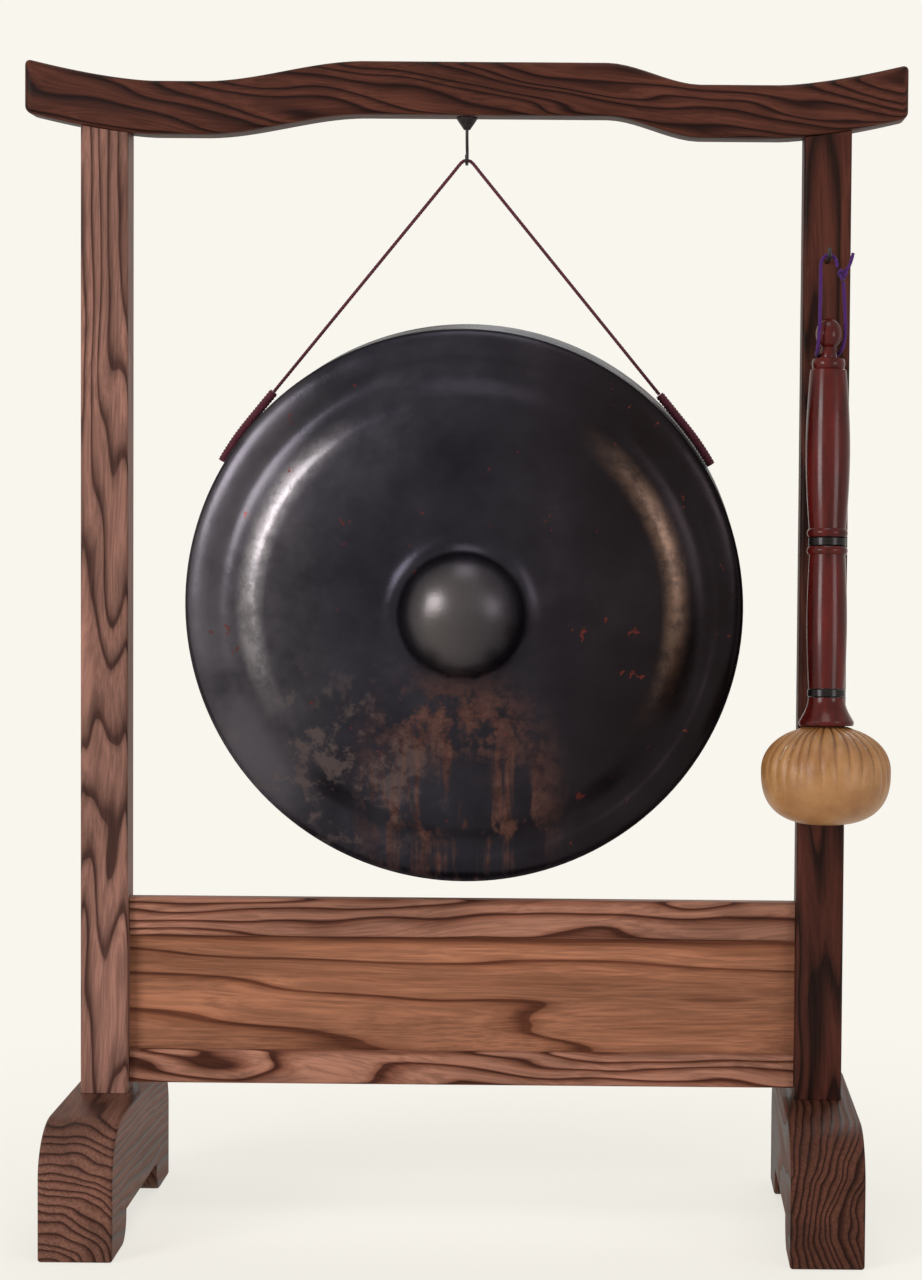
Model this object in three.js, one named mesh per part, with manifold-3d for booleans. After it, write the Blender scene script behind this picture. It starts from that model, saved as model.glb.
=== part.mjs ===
// A bossed gong that hangs from a wooden stand, with its leather-headed beater on the right post.
// Millimetres. X runs to the player's right, Y away from the player, Z up. The origin is on the
// floor, in the middle of the stand.
import * as THREE from 'three';
import { mergeVertices } from 'three/addons/utils/BufferGeometryUtils.js';
import Module from 'manifold-3d';

// ---- Driving dimensions ----
const FIT_GAP = 0.3; // between pieces that touch

// Gong
const GONG_DIAMETER = 360;
const GONG_WALL = 3;
const GONG_RIM_DEPTH = 60;
const SHOULDER_RADIUS = 165; // the raised ring just inside the rim
const SHOULDER_HEIGHT = 7;
const GROOVE_RADIUS = 159;
const GROOVE_HEIGHT = 6;
const PLATE_RADIUS = 132; // the raised middle plate
const PLATE_EDGE_HEIGHT = 17.5;
const PLATE_MIDDLE_HEIGHT = 21;
const BOSS_RADIUS = 41;
const BOSS_HEIGHT = 32; // above the plate
const BOSS_FILLET = 7;
const RIM_HOLE_SETBACK = 30; // from the front edge of the rim
const RIM_HOLE_RADIUS = 2.8;
const RIM_HOLE_ANGLE = 59.5; // degrees from the top, each way

// How the gong hangs
const GONG_SIDE_GAP = 35.5; // gong to post
const GONG_FLOOR_GAP = 9; // gong to top rail
const CORD_SPREAD_HEIGHT = 286; // cord's top to the gong's centre
const HOOK_DROP = 27.5; // beam to the cord's top
const CORD_DIAMETER = 2.3;
const LASHING_DIAMETER = 6; // the bound, doubled cord along the rim
const LASHING_LEAD = 26; // straight stretch of lashing before it meets the rim
const RIM_KNOT_RADIUS = 5.5;
const HOOK_WIRE = 2; // diameter
const HOOK_CURL_RADIUS = 4.5;
const HOOK_HEAD_RADIUS = 2.6;
const HOOK_HEAD_HEIGHT = 2;
const COLLAR_RADIUS = 6.75;
const COLLAR_HEIGHT = 7.7;
const COLLAR_STUD_RADIUS = 2.5;
const COLLAR_STUD_LENGTH = 16;

// Stand
const POST_WIDTH = 30.5;
const POST_DEPTH = 26;
const POST_EDGE = 2.5; // rounding of the long edges
const BEAM_OVERHANG = 35.5; // past the posts
const BEAM_HEIGHT = 34;
const BEAM_DEPTH = 30;
const BEAM_EDGE = 4;
const BEAM_WAVE = 13.4; // rise of the middle over the dips
const BEAM_END_RISE = 13.5; // rise of the ends over the dips
const LEFT_HUMP = 65; // half-length of the flat top of the hump, to the left
const RIGHT_HUMP = 89;
const LEFT_DIP_START = 63; // from the post's centre line, inwards
const RIGHT_DIP_START = 81;
const DIP_END = 31;
const RAIL_DEPTH = 12;
const RAIL_EDGE = 2;
const TOP_RAIL_HEIGHT = 25;
const BOTTOM_RAIL_HEIGHT = 22;
const PANEL_VISIBLE_HEIGHT = 74;
const PANEL_THICKNESS = 5;
const PANEL_GROOVE = 5;
const RAIL_ABOVE_FOOT = 6;
const FOOT_LENGTH = 240;
const FOOT_WIDTH = 46;
const FOOT_HEIGHT = 83;
const FOOT_FACE_HEIGHT = 51;
const FOOT_SLOPE_LENGTH = 42; // the rounded fall from the flat top to each end face
const FOOT_EDGE = 2;
const SOLE_LENGTH = 41; // each pad that meets the floor
const ARCH_HEIGHT = 19;
const ARCH_SLOPE = 17;
const TENON_SHOULDER = 6; // wood left round each tenon
const BEAM_TENON = 18;
const FOOT_TENON = 32;
const RAIL_TENON = 12;

// Beater
const BEATER_HOOK_DROP = 75; // below the top of the post
const BEATER_HOOK_REACH = 20; // from the post's face to the cord
const BEATER_HOOK_WIRE = 2.6;
const BEATER_HOOK_BURIED = 12;
const BEATER_HOOK_TIP = 7;
const BEATER_CORD_DIAMETER = 2.4;
const BEATER_DROP = 40; // cord's top to the knob's top
const KNOB_RADIUS = 8.2;
const KNOB_LENGTH = 20;
const NECK_RADIUS = 5.2;
const NECK_LENGTH = 6;
const SHOULDER_RING_RADIUS = 10.6;
const UPPER_GRIP_RADIUS = 14;
const UPPER_GRIP_LENGTH = 107;
const LOWER_GRIP_RADIUS = 12.7;
const LOWER_GRIP_LENGTH = 84;
const BAND_RADIUS = 12;
const BAND_LENGTH = 5.5;
const BAND_BORE_RADIUS = 8;
const BAND_RING = 5.5; // turned bead above and below the upper band
const FERRULE_LENGTH = 18;
const FERRULE_RADIUS = 17.4;
const FERRULE_NECK_RADIUS = 11.5;
const HANDLE_TENON_RADIUS = 6;
const HEAD_RADIUS = 42.4;
const HEAD_LENGTH = 66;
const HEAD_WIDEST = 30; // below the leather's top
const LEATHER = 2;
const CORE_GAP = 1.2; // felt to leather
const LEATHER_NECK_RADIUS = 14;
const TIE_RADIUS = 1.3;

// ---- Places that follow from them ----
const gongRadius = GONG_DIAMETER / 2;
const postX = gongRadius + GONG_SIDE_GAP + POST_WIDTH / 2;
const postInner = gongRadius + GONG_SIDE_GAP;
const beamHalf = postX + POST_WIDTH / 2 + BEAM_OVERHANG;
const bottomRailLow = FOOT_HEIGHT + RAIL_ABOVE_FOOT;
const panelLow = bottomRailLow + BOTTOM_RAIL_HEIGHT;
const topRailLow = panelLow + PANEL_VISIBLE_HEIGHT;
const topRailHigh = topRailLow + TOP_RAIL_HEIGHT;
const lowestReach = Math.hypot(CORD_SPREAD_HEIGHT + gongRadius, RIM_HOLE_SETBACK);
const cordTopZ = topRailHigh + GONG_FLOOR_GAP + lowestReach;
const beamUnderside = cordTopZ + HOOK_DROP; // in the middle of its length
const dipUnderside = beamUnderside - BEAM_WAVE;

const wasm = await Module();
wasm.setup();

// ---- Helpers ----

/** Six times the volume that a triangle spans with the origin. */
function spannedVolume(a, b, c) {
  return a.dot(b.clone().cross(c));
}

/** The corners of each triangle of an indexed geometry. */
function* triangles(geometry) {
  const place = geometry.getAttribute('position');
  const index = geometry.getIndex();
  for (let i = 0; i < index.count; i += 3) {
    yield [0, 1, 2].map((k) => new THREE.Vector3().fromBufferAttribute(place, index.getX(i + k)));
  }
}

/** A closed geometry as a solid that faces out. */
function solid(geometry) {
  const plain = geometry.clone();
  for (const name of Object.keys(plain.attributes)) {
    if (name !== 'position') plain.deleteAttribute(name);
  }
  const merged = mergeVertices(plain, 1e-4);
  let volume = 0;
  for (const [a, b, c] of triangles(merged)) volume += spannedVolume(a, b, c);
  const index = merged.getIndex().array;
  const triVerts = [];
  for (let i = 0; i < index.length; i += 3) {
    const [a, b, c] = [index[i], index[i + 1], index[i + 2]];
    if (a === b || b === c || c === a) continue;
    triVerts.push(...(volume > 0 ? [a, b, c] : [a, c, b]));
  }
  return new wasm.Manifold(new wasm.Mesh({
    numProp: 3,
    vertProperties: new Float32Array(merged.getAttribute('position').array),
    triVerts: new Uint32Array(triVerts),
  }));
}

/** A solid as a geometry for a mesh. */
function geometryOf(body) {
  const mesh = body.getMesh();
  const geometry = new THREE.BufferGeometry();
  geometry.setAttribute('position', new THREE.BufferAttribute(new Float32Array(mesh.vertProperties), 3));
  geometry.setIndex(new THREE.BufferAttribute(new Uint32Array(mesh.triVerts), 1));
  geometry.computeVertexNormals();
  return geometry;
}

/** A material with the colour and finish of one of the object's stuffs. */
function finish(color, roughness, metalness = 0) {
  return new THREE.MeshStandardMaterial({ color, roughness, metalness });
}

const FINISHES = {
  wood: () => finish(0x6e4638, 0.65),
  panelWood: () => finish(0x9a6b50, 0.6),
  bronze: () => finish(0x3b3a42, 0.4, 0.85),
  iron: () => finish(0x1e1d1f, 0.5, 0.7),
  gongCord: () => finish(0x5e2338, 0.8),
  purpleCord: () => finish(0x4a1c66, 0.6),
  lacquer: () => finish(0x5c140f, 0.2),
  black: () => finish(0x120d0c, 0.25),
  leather: () => finish(0xb07a2e, 0.55),
  felt: () => finish(0xcbbf9f, 0.95),
};

/** A named mesh of one solid. */
function piece(name, body, stuff) {
  const mesh = new THREE.Mesh(geometryOf(body), FINISHES[stuff]());
  mesh.name = name;
  return mesh;
}

/** A rectangle with round corners, centred. */
function roundedRectangle(width, height, radius) {
  const [w, h] = [width / 2 - radius, height / 2 - radius];
  const shape = new THREE.Shape();
  shape.absarc(w, h, radius, 0, Math.PI / 2);
  shape.absarc(-w, h, radius, Math.PI / 2, Math.PI);
  shape.absarc(-w, -h, radius, Math.PI, Math.PI * 1.5);
  shape.absarc(w, -h, radius, Math.PI * 1.5, Math.PI * 2);
  return shape;
}

/** An upright bar with round long edges, from z = low to z = high. */
function upright(x, width, depth, low, high, radius) {
  const bar = new THREE.ExtrudeGeometry(roundedRectangle(width, depth, radius), {
    depth: high - low, bevelEnabled: false, curveSegments: 3,
  });
  return solid(bar.translate(x, 0, low));
}

/** A bar along X with round long edges, centred on x = 0. */
function crossbar(length, depth, low, high, radius) {
  const bar = new THREE.ExtrudeGeometry(roundedRectangle(high - low, depth, radius), {
    depth: length, bevelEnabled: false, curveSegments: 3,
  });
  bar.rotateY(Math.PI / 2).translate(-length / 2, 0, (low + high) / 2);
  return solid(bar);
}

/** A plain block between two corners. */
function block(low, high) {
  const size = high.map((value, i) => value - low[i]);
  const box = new THREE.BoxGeometry(...size);
  return solid(box.translate(...low.map((value, i) => value + size[i] / 2)));
}

/** A solid of revolution about Z, from a closed list of [radius, height]. */
function turned(profile, sides) {
  const points = [...profile, profile[0]].map(([r, h]) => new THREE.Vector2(r, h));
  return solid(new THREE.LatheGeometry(points, sides).rotateX(Math.PI / 2));
}

/** A round tube along a curve. */
function tube(curve, diameter, sides, steps) {
  const ring = new THREE.Shape();
  for (let i = 0; i < sides; i += 1) {
    const angle = (i / sides) * Math.PI * 2;
    const corner = [Math.cos(angle) * diameter / 2, Math.sin(angle) * diameter / 2];
    if (i === 0) ring.moveTo(...corner);
    else ring.lineTo(...corner);
  }
  return solid(new THREE.ExtrudeGeometry(ring, { steps, bevelEnabled: false, extrudePath: curve }));
}

/** A smooth curve through a list of [x, y, z]. */
function through(points) {
  return new THREE.CatmullRomCurve3(points.map((p) => new THREE.Vector3(...p)), false, 'centripetal');
}

/** Points of a curve given as a formula from 0 to 1. */
function sampled(count, at) {
  return Array.from({ length: count + 1 }, (_, i) => at(i / count));
}

// ---- Stand ----

/** Height of the beam's line above its dips. */
function beamRise(x) {
  const [flat, dip] = x < 0 ? [LEFT_HUMP, postX - LEFT_DIP_START] : [RIGHT_HUMP, postX - RIGHT_DIP_START];
  const hump = BEAM_WAVE * (1 - THREE.MathUtils.smoothstep(Math.abs(x), flat, dip));
  const past = Math.max(0, (Math.abs(x) - (postX - DIP_END)) / (beamHalf - (postX - DIP_END)));
  return hump + BEAM_END_RISE * past ** 1.5;
}

/** The wavy beam between two offsets from its underside, spread by a margin. */
function beamBlank(lowOffset, highOffset, depth, edge) {
  const steps = 40;
  const half = beamHalf - edge;
  const line = (offset) => sampled(steps, (t) => {
    const x = half * (2 * t - 1);
    return new THREE.Vector2(x, dipUnderside + beamRise(x) + offset);
  });
  const outline = [...line(lowOffset + edge), ...line(highOffset - edge).reverse()];
  const blank = new THREE.ExtrudeGeometry(new THREE.Shape(outline), {
    depth: depth - 2 * edge, bevelEnabled: edge > 0, bevelSize: edge, bevelThickness: edge, bevelSegments: 2,
  });
  return solid(blank.rotateX(Math.PI / 2).translate(0, depth / 2 - edge, 0));
}

/** A post's tenon, grown by a gap where it is used to cut its mortise. */
function tenon(x, low, high, grow = 0) {
  const [w, d] = [POST_WIDTH / 2 - TENON_SHOULDER + grow, POST_DEPTH / 2 - TENON_SHOULDER + grow];
  return block([x - w, -d, low - grow], [x + w, d, high + grow]);
}

/** A rail's tenon, which runs through the rail from post to post. */
function railTenon(low, high, grow = 0) {
  const shoulder = RAIL_DEPTH / 4;
  const reach = postInner + RAIL_TENON + grow;
  return block(
    [-reach, -RAIL_DEPTH / 2 + shoulder - grow, low + shoulder - grow],
    [reach, RAIL_DEPTH / 2 - shoulder + grow, high - shoulder + grow],
  );
}

/** The panel, grown by a gap where it is used to cut its grooves. */
function panelBody(grow = 0) {
  const [x, y] = [postInner + PANEL_GROOVE + grow, PANEL_THICKNESS / 2 + grow];
  return block([-x, -y, panelLow - PANEL_GROOVE - grow], [x, y, topRailLow + PANEL_GROOVE + grow]);
}

/** Height of the post's tenon in the beam, above the beam's underside there. */
function beamTenonTop() {
  return dipUnderside + beamRise(postX) + BEAM_TENON;
}

function makePost(side) {
  const x = side * postX;
  const blankTop = dipUnderside + BEAM_HEIGHT;
  return upright(x, POST_WIDTH, POST_DEPTH, FOOT_HEIGHT + FIT_GAP, blankTop, POST_EDGE)
    .subtract(beamBlank(-FIT_GAP, 2 * BEAM_HEIGHT, 2 * BEAM_DEPTH, 0))
    .add(tenon(x, FOOT_HEIGHT + FIT_GAP + 1, beamTenonTop()))
    .add(tenon(x, FOOT_HEIGHT - FOOT_TENON, FOOT_HEIGHT + 1 + FIT_GAP))
    .subtract(railTenon(bottomRailLow, panelLow, FIT_GAP))
    .subtract(railTenon(topRailLow, topRailHigh, FIT_GAP))
    .subtract(panelBody(FIT_GAP));
}

function makeBeam() {
  let beam = beamBlank(0, BEAM_HEIGHT, BEAM_DEPTH, BEAM_EDGE);
  for (const side of [-1, 1]) {
    beam = beam.subtract(tenon(side * postX, dipUnderside - BEAM_HEIGHT, beamTenonTop(), FIT_GAP));
  }
  const stud = new THREE.CylinderGeometry(
    COLLAR_STUD_RADIUS + FIT_GAP, COLLAR_STUD_RADIUS + FIT_GAP, COLLAR_STUD_LENGTH + 1, 16,
  );
  stud.rotateX(Math.PI / 2).translate(0, 0, beamUnderside + (COLLAR_STUD_LENGTH - 1) / 2 + FIT_GAP);
  return beam.subtract(solid(stud));
}

function makeRail(low, high) {
  return crossbar(2 * (postInner - FIT_GAP), RAIL_DEPTH, low, high, RAIL_EDGE)
    .add(railTenon(low, high))
    .subtract(panelBody(FIT_GAP));
}

/** Half of the foot's side outline, from the middle of the arch round to the middle of the top. */
function footOutline(edge) {
  const half = FOOT_LENGTH / 2;
  const flat = half - FOOT_SLOPE_LENGTH;
  const sole = half - SOLE_LENGTH;
  const fall = FOOT_HEIGHT - FOOT_FACE_HEIGHT;
  const slope = sampled(6, (t) => {
    const angle = (t * Math.PI) / 2;
    return [half - edge - (FOOT_SLOPE_LENGTH - edge) * (1 - Math.cos(angle)), FOOT_FACE_HEIGHT + (fall - edge) * Math.sin(angle)];
  });
  const arch = sampled(4, (t) => {
    const angle = (t * Math.PI) / 2;
    return [sole + edge - ARCH_SLOPE * Math.sin(angle), ARCH_HEIGHT + edge - ARCH_HEIGHT * Math.cos(angle)];
  });
  return [...arch.reverse(), [half - edge, edge], ...slope, [flat, FOOT_HEIGHT - edge]];
}

function makeFoot(side) {
  const right = footOutline(FOOT_EDGE);
  const left = right.map(([y, z]) => [-y, z]).reverse();
  const outline = [...right, ...left].map(([y, z]) => new THREE.Vector2(y, z));
  const blank = new THREE.ExtrudeGeometry(new THREE.Shape(outline), {
    depth: FOOT_WIDTH - 2 * FOOT_EDGE,
    bevelEnabled: true, bevelSize: FOOT_EDGE, bevelThickness: FOOT_EDGE, bevelSegments: 2,
  });
  blank.rotateX(Math.PI / 2).rotateZ(Math.PI / 2).translate(side * postX - FOOT_WIDTH / 2 + FOOT_EDGE, 0, 0);
  return solid(blank)
    .subtract(tenon(side * postX, FOOT_HEIGHT - FOOT_TENON, FOOT_HEIGHT + 1, FIT_GAP));
}

// ---- Gong ----

/** The gong's front surface, from the middle of the boss to the edge: [radius, height]. */
function gongFront() {
  const filletStart = BOSS_RADIUS + BOSS_FILLET;
  const plate = (r) => {
    const across = (r - filletStart) / (PLATE_RADIUS - filletStart);
    return PLATE_MIDDLE_HEIGHT - (PLATE_MIDDLE_HEIGHT - PLATE_EDGE_HEIGHT) * across ** 2;
  };
  const boss = sampled(6, (t) => {
    const angle = (t * Math.PI) / 2 * 0.86;
    return [BOSS_RADIUS * Math.sin(angle), PLATE_MIDDLE_HEIGHT + BOSS_HEIGHT * Math.cos(angle)];
  });
  const fillet = [[BOSS_RADIUS + BOSS_FILLET * 0.3, PLATE_MIDDLE_HEIGHT + BOSS_FILLET * 0.25]];
  const middle = sampled(3, (t) => {
    const r = filletStart + (PLATE_RADIUS - filletStart) * t;
    return [r, plate(r)];
  });
  const fall = sampled(5, (t) => {
    const r = PLATE_RADIUS + 4 + (GROOVE_RADIUS - PLATE_RADIUS - 4) * t;
    const drop = PLATE_EDGE_HEIGHT - 1 - GROOVE_HEIGHT;
    return [r, GROOVE_HEIGHT + drop * (1 + Math.cos(Math.PI * t)) / 2];
  });
  const edge = sampled(4, (t) => {
    const angle = (t * Math.PI) / 2;
    const reach = gongRadius - SHOULDER_RADIUS;
    return [SHOULDER_RADIUS + reach * Math.sin(angle), SHOULDER_HEIGHT * Math.cos(angle)];
  });
  return [...boss, ...fillet, ...middle, ...fall, ...edge];
}

/** The gong's inner surface: the front one moved back by the wall, and in at the rim. */
function gongBack(front) {
  return front
    .filter(([r]) => r < gongRadius - GONG_WALL)
    .map(([r, h]) => [r > GONG_WALL && r < BOSS_RADIUS + 1 ? r - GONG_WALL * (r / BOSS_RADIUS) : r, h - GONG_WALL]);
}

/** A gong whose axis is Y, its rim's front edge at the origin and its face towards -Y. */
function makeGong() {
  const front = gongFront();
  const profile = [
    ...front,
    [gongRadius, -GONG_RIM_DEPTH + 1],
    [gongRadius - GONG_WALL / 2, -GONG_RIM_DEPTH],
    [gongRadius - GONG_WALL, -GONG_RIM_DEPTH + 1],
    [gongRadius - GONG_WALL, -GONG_WALL],
    ...gongBack(front).reverse(),
  ];
  const points = profile.map(([r, h]) => new THREE.Vector2(r, -h));
  let gong = solid(new THREE.LatheGeometry(points, 56));
  for (const side of [-1, 1]) {
    const drill = new THREE.CylinderGeometry(RIM_HOLE_RADIUS, RIM_HOLE_RADIUS, 6 * GONG_WALL, 12);
    drill.rotateX(Math.PI / 2).translate(0, 0, gongRadius).rotateY(side * RIM_HOLE_ANGLE * Math.PI / 180);
    gong = gong.subtract(solid(drill.translate(0, RIM_HOLE_SETBACK, 0)));
  }
  return gong;
}

/** The centre of a solid's mass. */
function massCentre(body) {
  const sum = new THREE.Vector3();
  let total = 0;
  for (const [a, b, c] of triangles(geometryOf(body))) {
    const volume = spannedVolume(a, b, c);
    sum.addScaledVector(a.add(b).add(c), volume / 4);
    total += volume;
  }
  return sum.divideScalar(total);
}

// The hanging cord's route, from the left lashing over the hook to the right one: the right half's
// [x, z] from the cord's top, which the left half mirrors.
const GONG_CORD_HALF_ROUTE = [
  [1.3, -0.17], [2.55, -0.7], [3.9, -1.87], [9, -8.08], [20, -21.47], [36, -40.94],
  [54, -62.84], [72, -84.75], [90, -106.65], [108, -128.56], [124.9, -149.12],
];

function gongCordRoute() {
  const right = GONG_CORD_HALF_ROUTE.map(([x, z]) => [x, 0, z]);
  const left = right.map(([x, y, z]) => [-x, y, z]).reverse();
  return [...left, [0, 0, 0], ...right];
}

/** The bound cord: straight off the leg, then round the rim to its hole. */
function makeLashing(side) {
  const lineRadius = gongRadius + LASHING_DIAMETER / 2 + FIT_GAP;
  const saddle = 2 * CORD_DIAMETER; // bend of the cord over the hook
  const meets = Math.acos((lineRadius - saddle) / (CORD_SPREAD_HEIGHT - saddle));
  const ends = RIM_HOLE_ANGLE * Math.PI / 180;
  const at = (angle) => [side * lineRadius * Math.sin(angle), 0, lineRadius * Math.cos(angle) - CORD_SPREAD_HEIGHT];
  const touch = at(meets);
  const lead = [1, 0.66, 0.33].map((share) => [
    touch[0] - side * share * LASHING_LEAD * Math.cos(meets), 0, touch[2] + share * LASHING_LEAD * Math.sin(meets),
  ]);
  const round = sampled(4, (t) => at(meets + (ends + 0.01 - meets) * t));
  return tube(through([...lead, ...round]), LASHING_DIAMETER, 10, 10);
}

/** A stopper knot inside the rim, with its cord through the hole. */
function makeRimKnot(side) {
  const inner = gongRadius - GONG_WALL;
  const stub = RIM_HOLE_RADIUS - 2 * FIT_GAP;
  const profile = [
    [0, inner - FIT_GAP - 2 * RIM_KNOT_RADIUS],
    ...sampled(5, (t) => {
      const angle = Math.PI * (0.15 + 0.7 * t);
      return [RIM_KNOT_RADIUS * Math.sin(angle), inner - FIT_GAP - RIM_KNOT_RADIUS * (1 + Math.cos(angle))];
    }),
    [stub, inner - FIT_GAP],
    [stub, gongRadius],
    [0, gongRadius],
  ];
  const knot = turned(profile, 12);
  const turn = new THREE.Matrix4().makeRotationY(side * RIM_HOLE_ANGLE * Math.PI / 180);
  return solid(geometryOf(knot).applyMatrix4(turn).translate(0, 0, -CORD_SPREAD_HEIGHT));
}

/** The cone under the beam that the hook turns in, with its stud in the beam. */
function makeCollar() {
  const top = beamUnderside - FIT_GAP;
  const low = top - COLLAR_HEIGHT;
  const bore = HOOK_WIRE / 2 + FIT_GAP;
  const pocket = HOOK_HEAD_RADIUS + FIT_GAP;
  const pocketLow = low + COLLAR_HEIGHT * 0.5;
  const pocketHigh = pocketLow + HOOK_HEAD_HEIGHT + 2 * FIT_GAP;
  return turned([
    [0, pocketHigh],
    [pocket, pocketHigh],
    [pocket, pocketLow],
    [bore, pocketLow],
    [bore, low],
    [bore + 0.7, low],
    [COLLAR_RADIUS, top - 0.8],
    [COLLAR_RADIUS, top],
    [COLLAR_STUD_RADIUS, top],
    [COLLAR_STUD_RADIUS, top + COLLAR_STUD_LENGTH],
    [0, top + COLLAR_STUD_LENGTH],
  ], 20);
}

/** The wire hook that turns in the collar and carries the cord. */
function makeGongHook() {
  const headLow = beamUnderside - FIT_GAP - COLLAR_HEIGHT * 0.5 + FIT_GAP;
  const seat = cordTopZ - CORD_DIAMETER / 2 - FIT_GAP - HOOK_WIRE / 2;
  const middle = seat + HOOK_CURL_RADIUS;
  const curl = sampled(8, (t) => {
    const angle = Math.PI * 1.08 * t;
    return [0, HOOK_CURL_RADIUS * (Math.cos(angle) - 1) + HOOK_CURL_RADIUS, middle - HOOK_CURL_RADIUS * Math.sin(angle)];
  });
  const bow = [
    [0, 0, headLow + 0.5],
    [0, 0, headLow - 6],
    [0, HOOK_CURL_RADIUS * 0.35, middle + 9],
    [0, HOOK_CURL_RADIUS * 0.9, middle + 4],
  ];
  const head = turned([
    [0, headLow], [HOOK_HEAD_RADIUS, headLow],
    [HOOK_HEAD_RADIUS, headLow + HOOK_HEAD_HEIGHT], [0, headLow + HOOK_HEAD_HEIGHT],
  ], 12);
  return tube(through([...bow, ...curl]), HOOK_WIRE, 8, 34).add(head);
}

// ---- Beater, from the top of its cord, with its axis down -Z ----

// The purple cord's route: off the knot, over the hook, down in front of the knob, round the neck
// and up the right side to the knot again.
const BEATER_CORD_ROUTE = [
  [5.1, 0, -7.6], [4.9, 0, -5.6], [3.6, 0, -1.9], [0, 0, 0], [-3.6, 0, -1.9], [-5, -0.2, -5.5],
  [-5.3, -1.6, -14], [-5.6, -4.6, -25], [-6, -8.4, -36], [-6.3, -10.6, -46], [-6.9, -9.6, -55], [-7.4, -5.6, -61],
  [-7.4, 0.4, -63.1], [-4.7, 6, -63.2], [0.4, 7.6, -63.1], [5.6, 5.8, -62.6], [8.4, 2.4, -59.5],
  [10.2, 1.2, -53], [10.6, 1, -44], [10.2, 0.6, -34], [9.6, 0, -24], [9.2, 0, -17.2],
];
const BEATER_KNOT_CENTRE = [8.6, 0, -12.2];
const BEATER_KNOT_RADII = [3.6, 3.4, 4.4];

/** The knot beside the hook, with its short tail. */
function makeBeaterKnot() {
  const [x, y, z] = BEATER_KNOT_CENTRE;
  const lump = new THREE.SphereGeometry(1, 10, 6).scale(...BEATER_KNOT_RADII).translate(x, y, z);
  const tail = through([[x + 1.5, y, z + 1], [x + 4.2, y - 1.2, z + 5], [x + 6, y - 1, z + 10], [x + 7, y, z + 14]]);
  return solid(lump).add(tube(tail, BEATER_CORD_DIAMETER, 8, 6));
}

const neckTop = -BEATER_DROP - KNOB_LENGTH;
const gripTop = neckTop - NECK_LENGTH;
const upperGripLow = gripTop - UPPER_GRIP_LENGTH;
const upperBandTop = upperGripLow - BAND_RING;
const lowerGripTop = upperBandTop - BAND_LENGTH - BAND_RING;
const lowerGripLow = lowerGripTop - LOWER_GRIP_LENGTH;
const lowerBandLow = lowerGripLow - BAND_LENGTH;
const ferruleLow = lowerBandLow - FERRULE_LENGTH;
const headTop = ferruleLow + 2;
const headLow = headTop - HEAD_LENGTH;
const headMiddle = headTop - HEAD_WIDEST;

/** The turned handle, cut back under its two bands, with a peg that enters the head. */
function makeHandle() {
  const knob = sampled(7, (t) => {
    const angle = Math.PI * (0.02 + 0.8 * t);
    return [KNOB_RADIUS * Math.sin(angle), -BEATER_DROP - KNOB_LENGTH * (1 - Math.cos(angle)) / 2];
  });
  const grip = sampled(8, (t) => [
    SHOULDER_RING_RADIUS + (UPPER_GRIP_RADIUS - SHOULDER_RING_RADIUS) * Math.sin(Math.PI * Math.min(1, 0.08 + t * 0.82)),
    gripTop - 7 - (UPPER_GRIP_LENGTH - 7) * t,
  ]);
  const lowerGrip = sampled(5, (t) => [
    BAND_RADIUS - 0.6 + (LOWER_GRIP_RADIUS - BAND_RADIUS + 0.6) * Math.sin(Math.PI * t),
    lowerGripTop - LOWER_GRIP_LENGTH * t,
  ]);
  const profile = [
    [0, -BEATER_DROP],
    ...knob,
    [NECK_RADIUS, neckTop], [NECK_RADIUS, gripTop + 1],
    [SHOULDER_RING_RADIUS, gripTop], [SHOULDER_RING_RADIUS, gripTop - 6],
    ...grip,
    [BAND_RADIUS + 0.9, upperGripLow - BAND_RING / 2],
    [BAND_RADIUS, upperBandTop + FIT_GAP], [BAND_BORE_RADIUS - FIT_GAP, upperBandTop + FIT_GAP],
    [BAND_BORE_RADIUS - FIT_GAP, upperBandTop - BAND_LENGTH - FIT_GAP],
    [BAND_RADIUS, upperBandTop - BAND_LENGTH - FIT_GAP],
    [BAND_RADIUS + 0.9, lowerGripTop + BAND_RING / 2],
    ...lowerGrip,
    [BAND_BORE_RADIUS - FIT_GAP, lowerGripLow],
    [BAND_BORE_RADIUS - FIT_GAP, ferruleLow + 4],
    [HANDLE_TENON_RADIUS, ferruleLow + 4],
    [HANDLE_TENON_RADIUS, headMiddle - 10],
    [0, headMiddle - 10],
  ];
  return turned(profile, 20);
}

/** A black band seated in the handle. */
function makeBand(top, low) {
  return turned([
    [BAND_BORE_RADIUS, top], [BAND_RADIUS - 0.6, top], [BAND_RADIUS, top - 0.6],
    [BAND_RADIUS, low + 0.6], [BAND_RADIUS - 0.6, low], [BAND_BORE_RADIUS, low],
  ], 24);
}

/** The flared collar that covers the gathered leather. */
function makeFerrule() {
  const top = lowerBandLow - FIT_GAP;
  const flare = sampled(5, (t) => [
    FERRULE_NECK_RADIUS + (FERRULE_RADIUS - FERRULE_NECK_RADIUS) * (1 - Math.cos(Math.PI / 2 * t)),
    top - (FERRULE_LENGTH - 3) * t,
  ]);
  return turned([
    [BAND_BORE_RADIUS, top],
    ...flare,
    [FERRULE_RADIUS - 0.5, ferruleLow], [FERRULE_RADIUS - 2.5, ferruleLow],
    [BAND_BORE_RADIUS + 1, ferruleLow + 6], [BAND_BORE_RADIUS, ferruleLow + 6],
  ], 24);
}

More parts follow.
